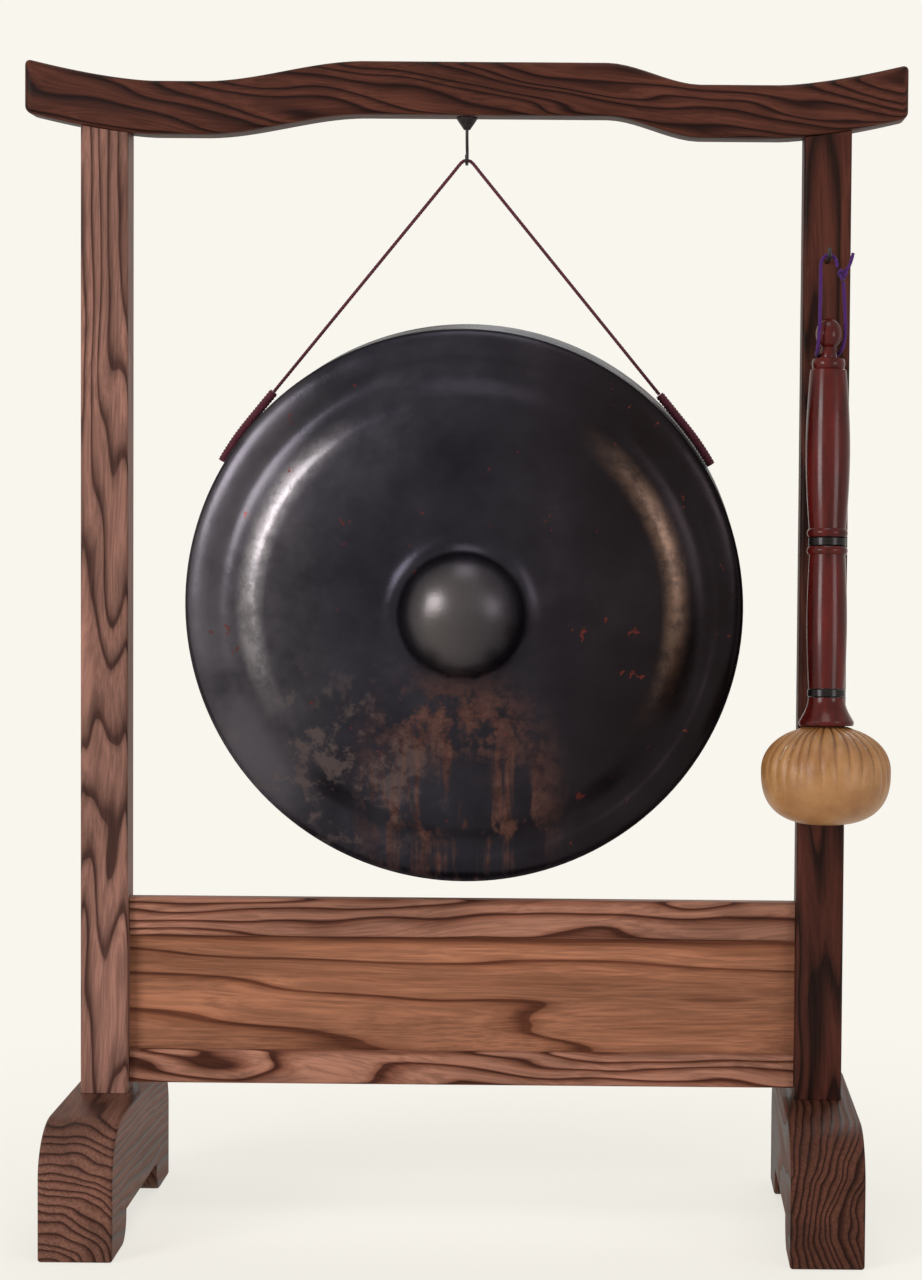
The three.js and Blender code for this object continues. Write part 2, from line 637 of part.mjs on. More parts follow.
/** The outline of the leather head at a share of its height, with a margin taken off. */
function headRadiusAt(z, inset) {
  const up = z > headMiddle;
  const reach = (up ? HEAD_WIDEST : HEAD_LENGTH - HEAD_WIDEST) - inset;
  const share = Math.min(1, Math.abs(z - headMiddle) / reach);
  const power = up ? 2.1 : 2.6;
  return (HEAD_RADIUS - inset) * (1 - share ** power) ** (1 / power);
}

/** Heights of the head's outline, closer together towards its ends. */
function headLine(inset, fromTop) {
  const low = headLow + inset;
  const top = fromTop;
  return sampled(9, (t) => {
    const z = low + (top - low) * (1 - Math.cos(Math.PI * t)) / 2;
    return [headRadiusAt(z, inset), z];
  });
}

function makeLeather() {
  const open = headTop - 4;
  const outer = headLine(0, open);
  const inner = headLine(LEATHER, open - 1.5);
  const neckOut = [[LEATHER_NECK_RADIUS, open + 1.5], [LEATHER_NECK_RADIUS - 2, open + 1.5]];
  return turned([
    ...outer.map(([r, z], i) => (i === outer.length - 1 ? [Math.max(r, LEATHER_NECK_RADIUS + 1), z] : [r, z])),
    ...neckOut,
    ...inner.map(([r, z], i) => (i === inner.length - 1 ? [LEATHER_NECK_RADIUS - 2, z] : [r, z])).reverse(),
  ], 28);
}

/** The felt-wrapped core inside the leather. */
function makeCore() {
  const inset = LEATHER + CORE_GAP;
  const core = turned([...headLine(inset, headTop - 9), [0, headTop - 9]], 24);
  const bore = new THREE.CylinderGeometry(
    HANDLE_TENON_RADIUS + FIT_GAP, HANDLE_TENON_RADIUS + FIT_GAP, headTop - (headMiddle - 10 - FIT_GAP), 16,
  );
  bore.rotateX(Math.PI / 2).translate(0, 0, (headTop + headMiddle - 10 - FIT_GAP) / 2);
  return core.subtract(solid(bore));
}

/** The cord that ties the leather round the handle, up inside the collar. */
function makeTie() {
  const middle = LEATHER_NECK_RADIUS - 2 - TIE_RADIUS - FIT_GAP;
  const ring = new THREE.TorusGeometry(middle, TIE_RADIUS, 8, 24);
  return solid(ring.translate(0, 0, headTop - 4));
}

/** The small hook in the post's face that the beater's cord hangs on. */
function makeBeaterHook(x, seatZ) {
  const face = -POST_DEPTH / 2;
  const axisZ = seatZ - BEATER_CORD_DIAMETER / 2 - FIT_GAP - BEATER_HOOK_WIRE / 2;
  const reach = face - BEATER_HOOK_REACH;
  const route = through([
    [x, face + BEATER_HOOK_BURIED, axisZ], [x, face, axisZ], [x, face - 10, axisZ], [x, reach, axisZ],
    [x, reach - 3.6, axisZ + 1.2], [x, reach - 5, axisZ + 4], [x, reach - 5, axisZ + BEATER_HOOK_TIP],
  ]);
  return tube(route, BEATER_HOOK_WIRE, 8, 24);
}

// ---- Assembly ----

const part = new THREE.Group();

part.add(piece('top_beam', makeBeam(), 'wood'));
for (const [name, side] of [['left', -1], ['right', 1]]) {
  part.add(piece(`${name}_foot`, makeFoot(side), 'wood'));
}
part.add(piece('left_post', makePost(-1), 'wood'));

const beaterSeat = dipUnderside - BEATER_HOOK_DROP;
const hookHole = solid(new THREE.CylinderGeometry(
  BEATER_HOOK_WIRE / 2 + FIT_GAP, BEATER_HOOK_WIRE / 2 + FIT_GAP, 2 * (BEATER_HOOK_BURIED + FIT_GAP), 12,
).translate(postX, -POST_DEPTH / 2, beaterSeat - BEATER_CORD_DIAMETER / 2 - FIT_GAP - BEATER_HOOK_WIRE / 2));
part.add(piece('right_post', makePost(1).subtract(hookHole), 'wood'));
part.add(piece('bottom_rail', makeRail(bottomRailLow, panelLow), 'wood'));
part.add(piece('top_rail', makeRail(topRailLow, topRailHigh), 'wood'));
part.add(piece('panel', panelBody(), 'panelWood'));

part.add(piece('hook_collar', makeCollar(), 'iron'));
part.add(piece('gong_hook', makeGongHook(), 'iron'));

// The gong and its cords hang from the cord's top, leaning so that the weight is under the hook.
const gongBody = makeGong();
const gongMass = massCentre(gongBody).add(new THREE.Vector3(0, -RIM_HOLE_SETBACK, -CORD_SPREAD_HEIGHT));
const hanging = new THREE.Group();
hanging.position.set(0, 0, cordTopZ);
hanging.rotation.x = Math.atan2(gongMass.y, gongMass.z) + Math.PI;
part.add(hanging);

const gong = piece('gong', gongBody, 'bronze');
gong.position.set(0, -RIM_HOLE_SETBACK, -CORD_SPREAD_HEIGHT);
hanging.add(gong);
hanging.add(piece('gong_cord', tube(through(gongCordRoute()), CORD_DIAMETER, 8, 48), 'gongCord'));
for (const [name, side] of [['left', -1], ['right', 1]]) {
  hanging.add(piece(`${name}_lashing`, makeLashing(side), 'gongCord'));
  hanging.add(piece(`${name}_rim_knot`, makeRimKnot(side), 'gongCord'));
}

part.add(piece('beater_hook', makeBeaterHook(postX, beaterSeat), 'iron'));

// The beater hangs from its hook with its head leaning on the post.
const beater = new THREE.Group();
beater.position.set(postX, -POST_DEPTH / 2 - BEATER_HOOK_REACH, beaterSeat);
const headOut = HEAD_RADIUS + 2 * FIT_GAP - BEATER_HOOK_REACH;
beater.rotation.x = -Math.asin(headOut / -headMiddle);
part.add(beater);
beater.add(piece('beater_cord', tube(through(BEATER_CORD_ROUTE), BEATER_CORD_DIAMETER, 8, 52), 'purpleCord'));
beater.add(piece('beater_cord_knot', makeBeaterKnot(), 'purpleCord'));
beater.add(piece('beater_handle', makeHandle(), 'lacquer'));
beater.add(piece('upper_band', makeBand(upperBandTop, upperBandTop - BAND_LENGTH), 'black'));
beater.add(piece('lower_band', makeBand(lowerGripLow - FIT_GAP, lowerBandLow), 'black'));
beater.add(piece('beater_ferrule', makeFerrule(), 'lacquer'));
beater.add(piece('head_core', makeCore(), 'felt'));
beater.add(piece('leather_cover', makeLeather(), 'leather'));
beater.add(piece('leather_tie', makeTie(), 'gongCord'));

export default part;
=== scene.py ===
# %% [markdown]
# # A bossed gong on its wooden stand
#
# The stand is brushed, charred softwood: two posts on arched feet, two rails with a panel between
# them, and a wavy beam. A bronze gong with a raised boss hangs from the beam by one cord, and a
# beater with a gathered leather head hangs from the right post.
#
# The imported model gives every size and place. This script adds the fine surfaces and finishes.

# %% Load the frame
import math

import bmesh
import bpy
from mathutils import Matrix, Vector


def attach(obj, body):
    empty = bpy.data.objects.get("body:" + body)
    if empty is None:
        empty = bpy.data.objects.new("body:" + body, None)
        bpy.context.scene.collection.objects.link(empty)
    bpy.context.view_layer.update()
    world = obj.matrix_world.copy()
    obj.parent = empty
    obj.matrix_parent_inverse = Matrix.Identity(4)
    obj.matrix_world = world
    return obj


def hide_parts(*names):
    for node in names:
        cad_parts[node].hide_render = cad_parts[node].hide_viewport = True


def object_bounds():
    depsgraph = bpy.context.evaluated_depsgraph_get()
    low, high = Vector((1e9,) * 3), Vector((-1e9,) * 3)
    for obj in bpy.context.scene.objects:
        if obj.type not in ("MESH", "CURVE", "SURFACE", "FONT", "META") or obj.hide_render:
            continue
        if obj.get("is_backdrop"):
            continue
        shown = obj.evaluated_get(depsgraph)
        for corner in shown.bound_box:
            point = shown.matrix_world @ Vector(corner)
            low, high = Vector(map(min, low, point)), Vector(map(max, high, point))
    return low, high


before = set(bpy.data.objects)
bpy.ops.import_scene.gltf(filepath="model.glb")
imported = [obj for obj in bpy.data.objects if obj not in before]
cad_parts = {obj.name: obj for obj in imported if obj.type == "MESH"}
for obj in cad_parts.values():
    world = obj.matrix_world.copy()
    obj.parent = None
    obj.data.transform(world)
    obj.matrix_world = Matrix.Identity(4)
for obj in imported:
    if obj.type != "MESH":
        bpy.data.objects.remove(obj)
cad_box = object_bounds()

MM = 0.001
print("nodes:", len(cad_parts))

# %% [markdown]
# ## The player's view
#
# A long lens about two metres away, a little right of the middle and a little above the gong's
# middle. It looks slightly down, and the shift to the side brings the stand to the picture's centre.

# %% Camera
EYE = (0.0991, -1.9845, 0.4897)
TURN, TILT, ROLL = 0.33, 2.63, 0.45  # degrees: to the left, down, and right side up
LENS = 86.55
SHIFT = (-0.1086, -0.024)

camera_data = bpy.data.cameras.new("player_view")
camera_data.sensor_width = 36
camera_data.lens = LENS
camera_data.shift_x, camera_data.shift_y = SHIFT
camera = bpy.data.objects.new("player_view", camera_data)
camera.matrix_world = (
    Matrix.Translation(EYE)
    @ Matrix.Rotation(math.radians(TURN), 4, "Z")
    @ Matrix.Rotation(math.radians(90 - TILT), 4, "X")
    @ Matrix.Rotation(math.radians(ROLL), 4, "Z")
)
bpy.context.scene.collection.objects.link(camera)
bpy.context.scene.camera = camera
print("lens", LENS, "mm at", EYE)

# %% [markdown]
# ## Where the hanging things hang
#
# The gong and its cords share one leaning group, with its origin at the top of the cord: the gong
# leans forward because its weight lies in front of its rim holes. The beater leans the other way,
# with its head resting against the post.

# %% Hanging groups
GONG_LEAN = 5.544
BEATER_LEAN = -4.058
CORD_TOP = Vector((0, 0, 0.685965))
BEATER_TOP = Vector((0.23075, -0.033, 0.625065))
GONG_FORWARD, GONG_DOWN = 30, 286  # cord's top to the middle of the rim's front edge
GONG_DROP = Vector((0, -GONG_FORWARD, -GONG_DOWN)) * MM

hanging = Matrix.Translation(CORD_TOP) @ Matrix.Rotation(math.radians(GONG_LEAN), 4, "X")
beater_place = Matrix.Translation(BEATER_TOP) @ Matrix.Rotation(math.radians(BEATER_LEAN), 4, "X")
gong_place = hanging @ Matrix.Translation(GONG_DROP)
print("gong's middle:", [round(v, 4) for v in gong_place.translation])

# %% [markdown]
# ## Laid cord
#
# A laid cord is strands twisted together, so its outline is a ring of lobes that turns as it runs
# along. A round tube would need a bump map to show that. Here the lobes are real, which keeps the
# twist in the silhouette, and each ring of the tube is a bmesh ring so that its UV map can follow
# the cord: across it in U, and along it in metres in V.

# %% Cord helpers
def smooth_route(points, step):
    """Even steps along a smooth curve through some points."""
    knots = [Vector(p) for p in points]
    ends = [2 * knots[0] - knots[1], *knots, 2 * knots[-1] - knots[-2]]
    fine = []
    for a, b, c, d in zip(ends, ends[1:], ends[2:], ends[3:]):
        # centripetal spacing keeps the curve from looping at uneven points
        t0, t1 = 0.0, math.sqrt((b - a).length)
        t2 = t1 + math.sqrt((c - b).length)
        t3 = t2 + math.sqrt((d - c).length)
        for i in range(24):
            t = t1 + (t2 - t1) * i / 24
            ab = a.lerp(b, (t - t0) / (t1 - t0))
            bc = b.lerp(c, (t - t1) / (t2 - t1))
            cd = c.lerp(d, (t - t2) / (t3 - t2))
            abc = ab.lerp(bc, (t - t0) / (t2 - t0))
            bcd = bc.lerp(cd, (t - t1) / (t3 - t1))
            fine.append(abc.lerp(bcd, (t - t1) / (t2 - t1)))
    fine.append(knots[-1])
    route, carried = [fine[0]], 0.0
    total = sum((q - p).length for p, q in zip(fine, fine[1:]))
    gap = total / max(2, round(total / step))
    for p, q in zip(fine, fine[1:]):
        span = (q - p).length
        while span > 1e-12 and carried + span >= gap:
            p = p.lerp(q, (gap - carried) / span)
            route.append(p)
            span, carried = (q - p).length, 0.0
        carried += span
    if (route[-1] - fine[-1]).length > gap / 2:
        route.append(fine[-1])
    return route


def route_length(route):
    """How long a route is."""
    return sum((b - a).length for a, b in zip(route, route[1:]))


def laid_cord(name, route, radius, strands, pitch, depth=0.16, sides=12):
    """A closed tube whose outline has one lobe for each strand."""
    mesh = bpy.data.meshes.new(name)
    build = bmesh.new()
    uv = build.loops.layers.uv.new("cord")
    ahead = [(b - a).normalized() for a, b in zip(route, route[1:])]
    ahead.append(ahead[-1])
    side = ahead[0].orthogonal().normalized()
    rings, along, places = [], 0.0, []
    for i, (centre, forward) in enumerate(zip(route, ahead)):
        if i:
            along += (centre - route[i - 1]).length
        side = (side - forward * side.dot(forward)).normalized()
        other = forward.cross(side)
        ring = []
        for k in range(sides):
            angle = 2 * math.pi * k / sides
            lobe = abs(math.sin(strands / 2 * (angle - 2 * math.pi * along / pitch)))
            reach = radius * (1 - depth * (1 - lobe))
            spoke = math.cos(angle) * side + math.sin(angle) * other
            ring.append(build.verts.new(centre + reach * spoke))
        rings.append(ring)
        places.append(along)
    for i, (low, high) in enumerate(zip(rings, rings[1:])):
        for k in range(sides):
            n = (k + 1) % sides
            face = build.faces.new((low[k], low[n], high[n], high[k]))
            across = (k / sides, (k + 1) / sides)
            spots = ((across[0], places[i]), (across[1], places[i]),
                     (across[1], places[i + 1]), (across[0], places[i + 1]))
            for loop, spot in zip(face.loops, spots):
                loop[uv].uv = spot
    build.faces.new(list(reversed(rings[0])))
    build.faces.new(rings[-1])
    bmesh.ops.recalc_face_normals(build, faces=build.faces)
    build.to_mesh(mesh)
    build.free()
    mesh.shade_smooth()
    cord_object = bpy.data.objects.new(name, mesh)
    bpy.context.scene.collection.objects.link(cord_object)
    return cord_object


def placed(group, points):
    """Points in millimetres of a hanging group, in the model's frame."""
    return [group @ (Vector(p) * MM) for p in points]


print("cord helpers ready")

# %% [markdown]
# ## The gong's cord
#
# One thin crimson cord runs in a V over the hook. Each leg ends in a lashing: the cord doubled and
# bound round itself along the rim, as far as the hole where it goes inside to its stopper knot.

# %% The hanging cord
GONG_CORD_DIAMETER = 2.3 * MM
GONG_CORD_HALF_ROUTE = [
    (1.3, -0.17), (2.55, -0.7), (3.9, -1.87), (9, -8.08), (20, -21.47), (36, -40.94),
    (54, -62.84), (72, -84.75), (90, -106.65), (108, -128.56), (124.9, -149.12),
]
right_half = [(x, 0, z) for x, z in GONG_CORD_HALF_ROUTE]
left_half = [(-x, 0, z) for x, z in reversed(GONG_CORD_HALF_ROUTE)]
gong_cord_route = smooth_route(placed(hanging, [*left_half, (0, 0, 0), *right_half]), 0.6 * MM)
gong_cord = laid_cord("hanging_cord", gong_cord_route, GONG_CORD_DIAMETER / 2, 3, 7 * MM)
print("hanging cord:", round(route_length(gong_cord_route) / MM, 1), "mm")

# %% The two lashings
LASHING_DIAMETER = 6 * MM
LASHING_ROUTE = [
    (125.08, -149.51), (130.7, -156.34), (136.15, -162.97), (141.6, -169.6),
    (146.3, -175.56), (150.74, -181.72), (154.93, -188.05), (158.86, -194.55),
]
lashings = {}
for side_name, side in (("left", -1), ("right", 1)):
    line = placed(hanging, [(side * x, 0, z) for x, z in LASHING_ROUTE])
    lashing_route = smooth_route(line, 0.45 * MM)
    lashings[side_name] = (
        laid_cord(f"{side_name}_bound_cord", lashing_route, LASHING_DIAMETER / 2, 2, 4.6 * MM,
                  depth=0.2, sides=20),
        lashing_route,
    )
print("lashings:", [round(route_length(r) / MM, 1) for _, r in lashings.values()], "mm")

# %% The beater's cord
BEATER_CORD_DIAMETER = 2.4 * MM
BEATER_CORD_ROUTE = [
    (5.1, 0, -7.6), (4.9, 0, -5.6), (3.6, 0, -1.9), (0, 0, 0), (-3.6, 0, -1.9), (-5, -0.2, -5.5),
    (-5.3, -1.6, -14), (-5.6, -4.6, -25), (-6, -8.4, -36), (-6.3, -10.6, -46), (-6.9, -9.6, -55),
    (-7.4, -5.6, -61), (-7.4, 0.4, -63.1), (-4.7, 6, -63.2), (0.4, 7.6, -63.1), (5.6, 5.8, -62.6),
    (8.4, 2.4, -59.5), (10.2, 1.2, -53), (10.6, 1, -44), (10.2, 0.6, -34), (9.6, 0, -24),
    (9.2, 0, -17.2),
]
beater_cord_route = smooth_route(placed(beater_place, BEATER_CORD_ROUTE), 0.5 * MM)
beater_cord = laid_cord("beater_cord_loop", beater_cord_route, BEATER_CORD_DIAMETER / 2, 4, 9 * MM)
print("beater's cord:", round(route_length(beater_cord_route) / MM, 1), "mm")

# %% [markdown]
# ## Knots
#
# A knot is the cord passed round itself, so each one is the same laid cord along a trefoil, which
# is the curve of a plain overhand knot, squeezed to the size of the lump.

# %% Knots
def knot(centre, radii, cord_radius, tail=()):
    """An overhand knot that fills an ellipsoid, with a tail."""
    loops = []
    for i in range(40):
        t = 2 * math.pi * i / 40 * 0.97
        x, y, z = math.sin(t) + 2 * math.sin(2 * t), -math.sin(3 * t), math.cos(t) - 2 * math.cos(2 * t)
        spot = Vector((x / 3, y, z / 3))
        loops.append([c + s * (r - cord_radius) for c, s, r in zip(centre, spot, radii)])
    return [*loops, *tail]


KNOT_CENTRE, KNOT_RADII = (8.6, 0, -12.2), (3.6, 3.4, 4.4)
tail = [(12, -1, -8), (13.9, -1.1, -3.5), (15.1, -0.4, 1.2)]
KNOT_CORD_RADIUS = 1.1
loop_lump = knot(KNOT_CENTRE, KNOT_RADII, KNOT_CORD_RADIUS, tail)
knot_route = smooth_route(placed(beater_place, loop_lump), 0.4 * MM)
loop_knot = laid_cord("loop_knot", knot_route, KNOT_CORD_RADIUS * MM, 4, 8 * MM)

RIM_HOLE_ANGLE = math.radians(59.5)  # from straight up
RIM_KNOT_REACH, RIM_KNOT_RADIUS, RIM_CORD_RADIUS = 171.2, 5.2, 1.6
rim_knots = {}
for side_name, side in (("left", -1), ("right", 1)):
    out = Vector((side * math.sin(RIM_HOLE_ANGLE), 0, math.cos(RIM_HOLE_ANGLE)))
    middle = Vector((0, 0, -GONG_DOWN)) + out * RIM_KNOT_REACH
    stub = [tuple(middle + out * reach) for reach in (5.0, 7.0, 8.4)]
    lump = knot(tuple(middle), 3 * (RIM_KNOT_RADIUS,), RIM_CORD_RADIUS, stub)
    rim_route = smooth_route(placed(hanging, lump), 0.5 * MM)
    rim_knots[side_name] = laid_cord(
        f"{side_name}_stopper_knot", rim_route, RIM_CORD_RADIUS * MM, 3, 8 * MM)
print("knots:", loop_knot.name, [k.name for k in rim_knots.values()])

for piece_object, body, slot in (
    (gong_cord, "gong", "gong_cord"),
    (lashings["left"][0], "gong", "gong_cord"),
    (lashings["right"][0], "gong", "gong_cord"),
    (rim_knots["left"], "gong", "gong_cord"),
    (rim_knots["right"], "gong", "gong_cord"),
    (beater_cord, "beater_loop", "purple_cord"),
    (loop_knot, "beater_loop", "purple_cord"),
):
    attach(piece_object, body)
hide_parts("gong_cord")
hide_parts("beater_cord")
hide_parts("beater_cord_knot")
for side_name, (lashing, lashing_route) in lashings.items():
    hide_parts(f"{side_name}_lashing")
    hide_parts(f"{side_name}_rim_knot")

# %% [markdown]
# ## Modelling helpers
#
# Turned and lathed pieces start as one point. It is extruded along half an outline, and spun about
# the axis. An outline cut from a plank is drawn the same way, filled, and extruded to its width.

# %% Modelling helpers
def start_point(name, first):
    """A new mesh with one vertex, in edit mode."""
    bpy.ops.object.select_all(action="DESELECT")
    bpy.ops.mesh.primitive_plane_add(size=MM, location=(0, 0, 0))
    blank = bpy.context.object
    blank.name = blank.data.name = name
    bpy.ops.object.mode_set(mode="EDIT")
    bpy.ops.mesh.select_all(action="SELECT")
    bpy.ops.mesh.merge(type="CENTER")
    bpy.ops.transform.translate(value=first)
    return blank


def draw_on(points):
    """Extrude the last vertex through some points."""
    for a, b in zip(points, points[1:]):
        step = tuple(Vector(b) - Vector(a))
        bpy.ops.mesh.extrude_vertices_move(TRANSFORM_OT_translate={"value": step})


def tidy_mesh(blank, sharp=30):
    """Merge what meets, turn the faces out and smooth the shallow angles."""
    bpy.ops.mesh.select_all(action="SELECT")
    bpy.ops.mesh.remove_doubles(threshold=1e-6)
    bpy.ops.mesh.normals_make_consistent(inside=False)
    bpy.ops.object.mode_set(mode="OBJECT")
    bpy.ops.object.select_all(action="DESELECT")
    blank.select_set(True)
    bpy.context.view_layer.objects.active = blank
    bpy.ops.object.shade_smooth_by_angle(angle=math.radians(sharp))
    return blank


def turned(name, outline, steps, place, sharp=30):
    """A turned piece from half its outline, [radius, height] in millimetres."""
    points = [(r * MM, 0, h * MM) for r, h in outline]
    blank = start_point(name, points[0])
    draw_on(points)
    bpy.ops.mesh.select_all(action="SELECT")
    bpy.ops.mesh.spin(steps=steps, angle=2 * math.pi, center=(0, 0, 0), axis=(0, 0, 1))
    tidy_mesh(blank, sharp)
    blank.data.transform(place)
    print(name, len(blank.data.polygons), "faces")
    return blank


def apply_modifier(blank, kind, **settings):
    """Add a modifier with some settings and apply it."""
    modifier = blank.modifiers.new(kind.lower(), kind)
    for setting, value in settings.items():
        setattr(modifier, setting, value)
    bpy.context.view_layer.objects.active = blank
    bpy.ops.object.modifier_apply(modifier=modifier.name)


def ease_edges(blank, width, segments):
    """Round the sharp edges by some millimetres."""
    apply_modifier(blank, "BEVEL", width=width * MM, segments=segments, limit_method="ANGLE",
                   angle_limit=math.radians(50))
    bpy.ops.object.shade_smooth_by_angle(angle=math.radians(30))


def sweep(start, end, count, at):
    """Points of a formula between two values."""
    return [at(start + (end - start) * i / count) for i in range(count + 1)]


def sawn(name, outline, x_low, width, edge):
    """A plank outline, [y, z] in millimetres, sawn to a width along X, with its edges eased."""
    points = [(x_low * MM, y * MM, z * MM) for y, z in outline]
    blank = start_point(name, points[0])
    draw_on(points)
    bpy.ops.mesh.select_all(action="SELECT")
    bpy.ops.mesh.edge_face_add()
    bpy.ops.mesh.extrude_region_move(TRANSFORM_OT_translate={"value": (width * MM, 0, 0)})
    tidy_mesh(blank)
    ease_edges(blank, edge, 4)
    print(name, len(blank.data.polygons), "faces")
    return blank


print("modelling helpers ready")

# %% [markdown]
# ## The beam
#
# The beam is one plank, bandsawn to a wave: a long hump over the gong, a dip each side of it, and
# ends that sweep up. It starts as a block that is subdivided along its length, and each slice is
# lifted to the wave's height there.

# %% The wave
POST_X, BEAM_HALF = 230.75, 281.5
BEAM_WAVE, END_RISE = 13.4, 13.5
HUMP, DIP = {-1: 65, 1: 89}, {-1: 63, 1: 81}
DIP_END = 31
DIP_UNDERSIDE, BEAM_HEIGHT, BEAM_DEPTH = 700.065, 34, 30


def beam_rise(x):
    """How far the beam's line lies above its dips."""
    side = -1 if x < 0 else 1
    share = min(1, max(0, (abs(x) - HUMP[side]) / (POST_X - DIP[side] - HUMP[side])))
    hump = BEAM_WAVE * (1 - share * share * (3 - 2 * share))
    past = max(0, (abs(x) - (POST_X - DIP_END)) / (BEAM_HALF - (POST_X - DIP_END)))
    return hump + END_RISE * past ** 1.5


print("middle", beam_rise(0), "end", beam_rise(BEAM_HALF))

# %% The plank
bpy.ops.object.select_all(action="DESELECT")
bpy.ops.mesh.primitive_cube_add(size=1, location=(0, 0, 0))
beam = bpy.context.object
beam.name = beam.data.name = "wavy_beam"
beam.scale = (2 * BEAM_HALF * MM, BEAM_DEPTH * MM, BEAM_HEIGHT * MM)
bpy.ops.object.transform_apply(location=True, rotation=True, scale=True)
bpy.ops.object.mode_set(mode="EDIT")
bpy.ops.mesh.select_all(action="DESELECT")
shape = bmesh.from_edit_mesh(beam.data)
for edge in shape.edges:
    a, b = edge.verts
    edge.select_set(abs(a.co.x - b.co.x) > 0.1)
bmesh.update_edit_mesh(beam.data)
bpy.ops.mesh.subdivide(number_cuts=96)
bpy.ops.object.mode_set(mode="OBJECT")
for vertex in beam.data.vertices:
    vertex.co.z += (DIP_UNDERSIDE + BEAM_HEIGHT / 2 + beam_rise(vertex.co.x / MM)) * MM
ease_edges(beam, 4, 5)
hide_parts("top_beam")
print(beam.name, len(beam.data.polygons), "faces")

# %% [markdown]
# ## The feet
#
# Each foot is a block with an arch under it, a flat top and a rounded fall to each end. Half of its
# outline is drawn and mirrored in the list, so that the two ends match.

# %% The feet
FOOT_WIDTH, FOOT_HALF, FOOT_EDGE = 46, 120, 2
FALL_LENGTH, FALL_LOW, FALL_RISE = 42, 51, 32
ARCH_HALF, ARCH_ROUND, ARCH_HEIGHT = 79, 17, 19


def foot_outline():
    """The whole side outline of a foot, [y, z] in millimetres."""
    quarter = math.pi / 2
    arch = sweep(1, 0, 12, lambda t: (
        ARCH_HALF - ARCH_ROUND * math.sin(t * quarter), ARCH_HEIGHT * (1 - math.cos(t * quarter))))
    fall = sweep(0, 1, 16, lambda t: (
        FOOT_HALF - FALL_LENGTH * (1 - math.cos(t * quarter)),
        FALL_LOW + FALL_RISE * math.sin(t * quarter)))
    right = [*arch, (FOOT_HALF, 0), *fall]
    return [*right, *[(-y, z) for y, z in reversed(right)]]


feet = {}
for side_name, side in (("left", -1), ("right", 1)):
    low_side = side * POST_X - FOOT_WIDTH / 2
    feet[side_name] = sawn(f"{side_name}_foot_block", foot_outline(), low_side, FOOT_WIDTH, FOOT_EDGE)
    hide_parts(f"{side_name}_foot")
for woodwork in (beam, *feet.values()):
    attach(woodwork, "stand")

# %% [markdown]
# ## The gong
#
# The gong is beaten from one sheet: a deep rim turned back, a raised ring, a groove, a domed plate
# and a boss. Half of that section is drawn once, front and back, and spun about the gong's axis.

# %% The gong's section
GONG_RADIUS, WALL, RIM_DEPTH = 180, 3, 60


def gong_front():
    """The front surface from the boss to the rim, [radius, height] in millimetres."""
    quarter = math.pi / 2
    boss = sweep(0, 0.86 * quarter, 22, lambda a: (41 * math.sin(a), 21 + 32 * math.cos(a)))
    end_r, end_h = boss[-1]
    flare = sweep(0.15, 1, 7, lambda t: (
        end_r + (58 - end_r) * t, 20.9 + (end_h - 20.9) * (1 - t) ** 2.6))
    plate = sweep(0.08, 0.95, 14, lambda t: (58 + 74 * t, 20.8 - 3.4 * t * t))
    roll = sweep(0, 1, 14, lambda t: (
        131 + 28 * t, 17.2 - 5.6 * (1 - math.cos(math.pi * t)) - 0.3 * math.sin(math.pi * t)))
    crest = sweep(0.2, 1, 8, lambda t: (159 + 6 * t, 6 + (1 - math.cos(math.pi * t)) / 2))
    edge = sweep(0.05, 1, 14, lambda t: (165 + 15 * math.sin(t * quarter), 7 * math.cos(t * quarter)))
    return [*boss, *flare, *plate, *roll, *crest, *edge]


front = gong_front()
INSIDE = GONG_RADIUS - WALL
back = [(r if r < 1 or r > 60 else r * 0.93, h - WALL) for r, h in front if r < INSIDE]
rim = [
    *[(GONG_RADIUS, h) for h in (-20, -40, 1 - RIM_DEPTH)], (GONG_RADIUS - WALL / 2, -RIM_DEPTH),
    *[(INSIDE, h) for h in (1 - RIM_DEPTH, -40, -20, -WALL)],
]
section = [*front, *rim, *reversed(back)]
FACE_OUT = Matrix.Rotation(math.radians(90), 4, "X")  # the section's height points at the player
gong = turned("bronze_gong", section, 168, gong_place @ FACE_OUT, 50)
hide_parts("gong")
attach(gong, "gong")

# %% [markdown]
# ## The beater's handle
#
# A knob for the cord, a long bellied grip, a pair of beads with a black band between them, a second
# grip, another band and a flared collar that covers the gathered leather.

# %% Handle, bands and collar
HANDLE_TOP, KNOB_RADIUS = -40, 8.2
BAND_BORE, BAND_RADIUS = 8, 12
COLLAR_TOP, COLLAR_LENGTH = -279.3, 15
belly = sweep(0, 1, 26, lambda t: (
    10.6 + 3.4 * math.sin(math.pi * min(1, 0.08 + t * 0.82)), -73 - 100 * t))
lower = sweep(0, 1, 20, lambda t: (11.4 + 1.3 * math.sin(math.pi * t), -189.5 - 84 * t))
knob = sweep(0.02, 0.82, 18, lambda t: (
    KNOB_RADIUS * math.sin(math.pi * t), HANDLE_TOP - 10 * (1 - math.cos(math.pi * t))))
bead_above = sweep(0, 1, 8, lambda t: (12 + 0.9 * math.sin(math.pi * t), -173.2 - 5 * t))
bead_below = sweep(0, 1, 8, lambda t: (12 + 0.9 * math.sin(math.pi * t), -184.3 - 5 * t))
shoulder = sweep(0, 1, 8, lambda t: (9.9 + 0.7 * math.sin(math.pi * t), -66 - 6 * t))
handle_outline = [
    (0, HANDLE_TOP), *knob, (5.2, -60), (5.2, -65), *shoulder, *belly, *bead_above,
    (7.7, -178.2), (7.7, -184.3), *bead_below, *lower, (7.7, -273.5), (7.7, -293), (6, -293),
    (6, -335), (0, -335),
]
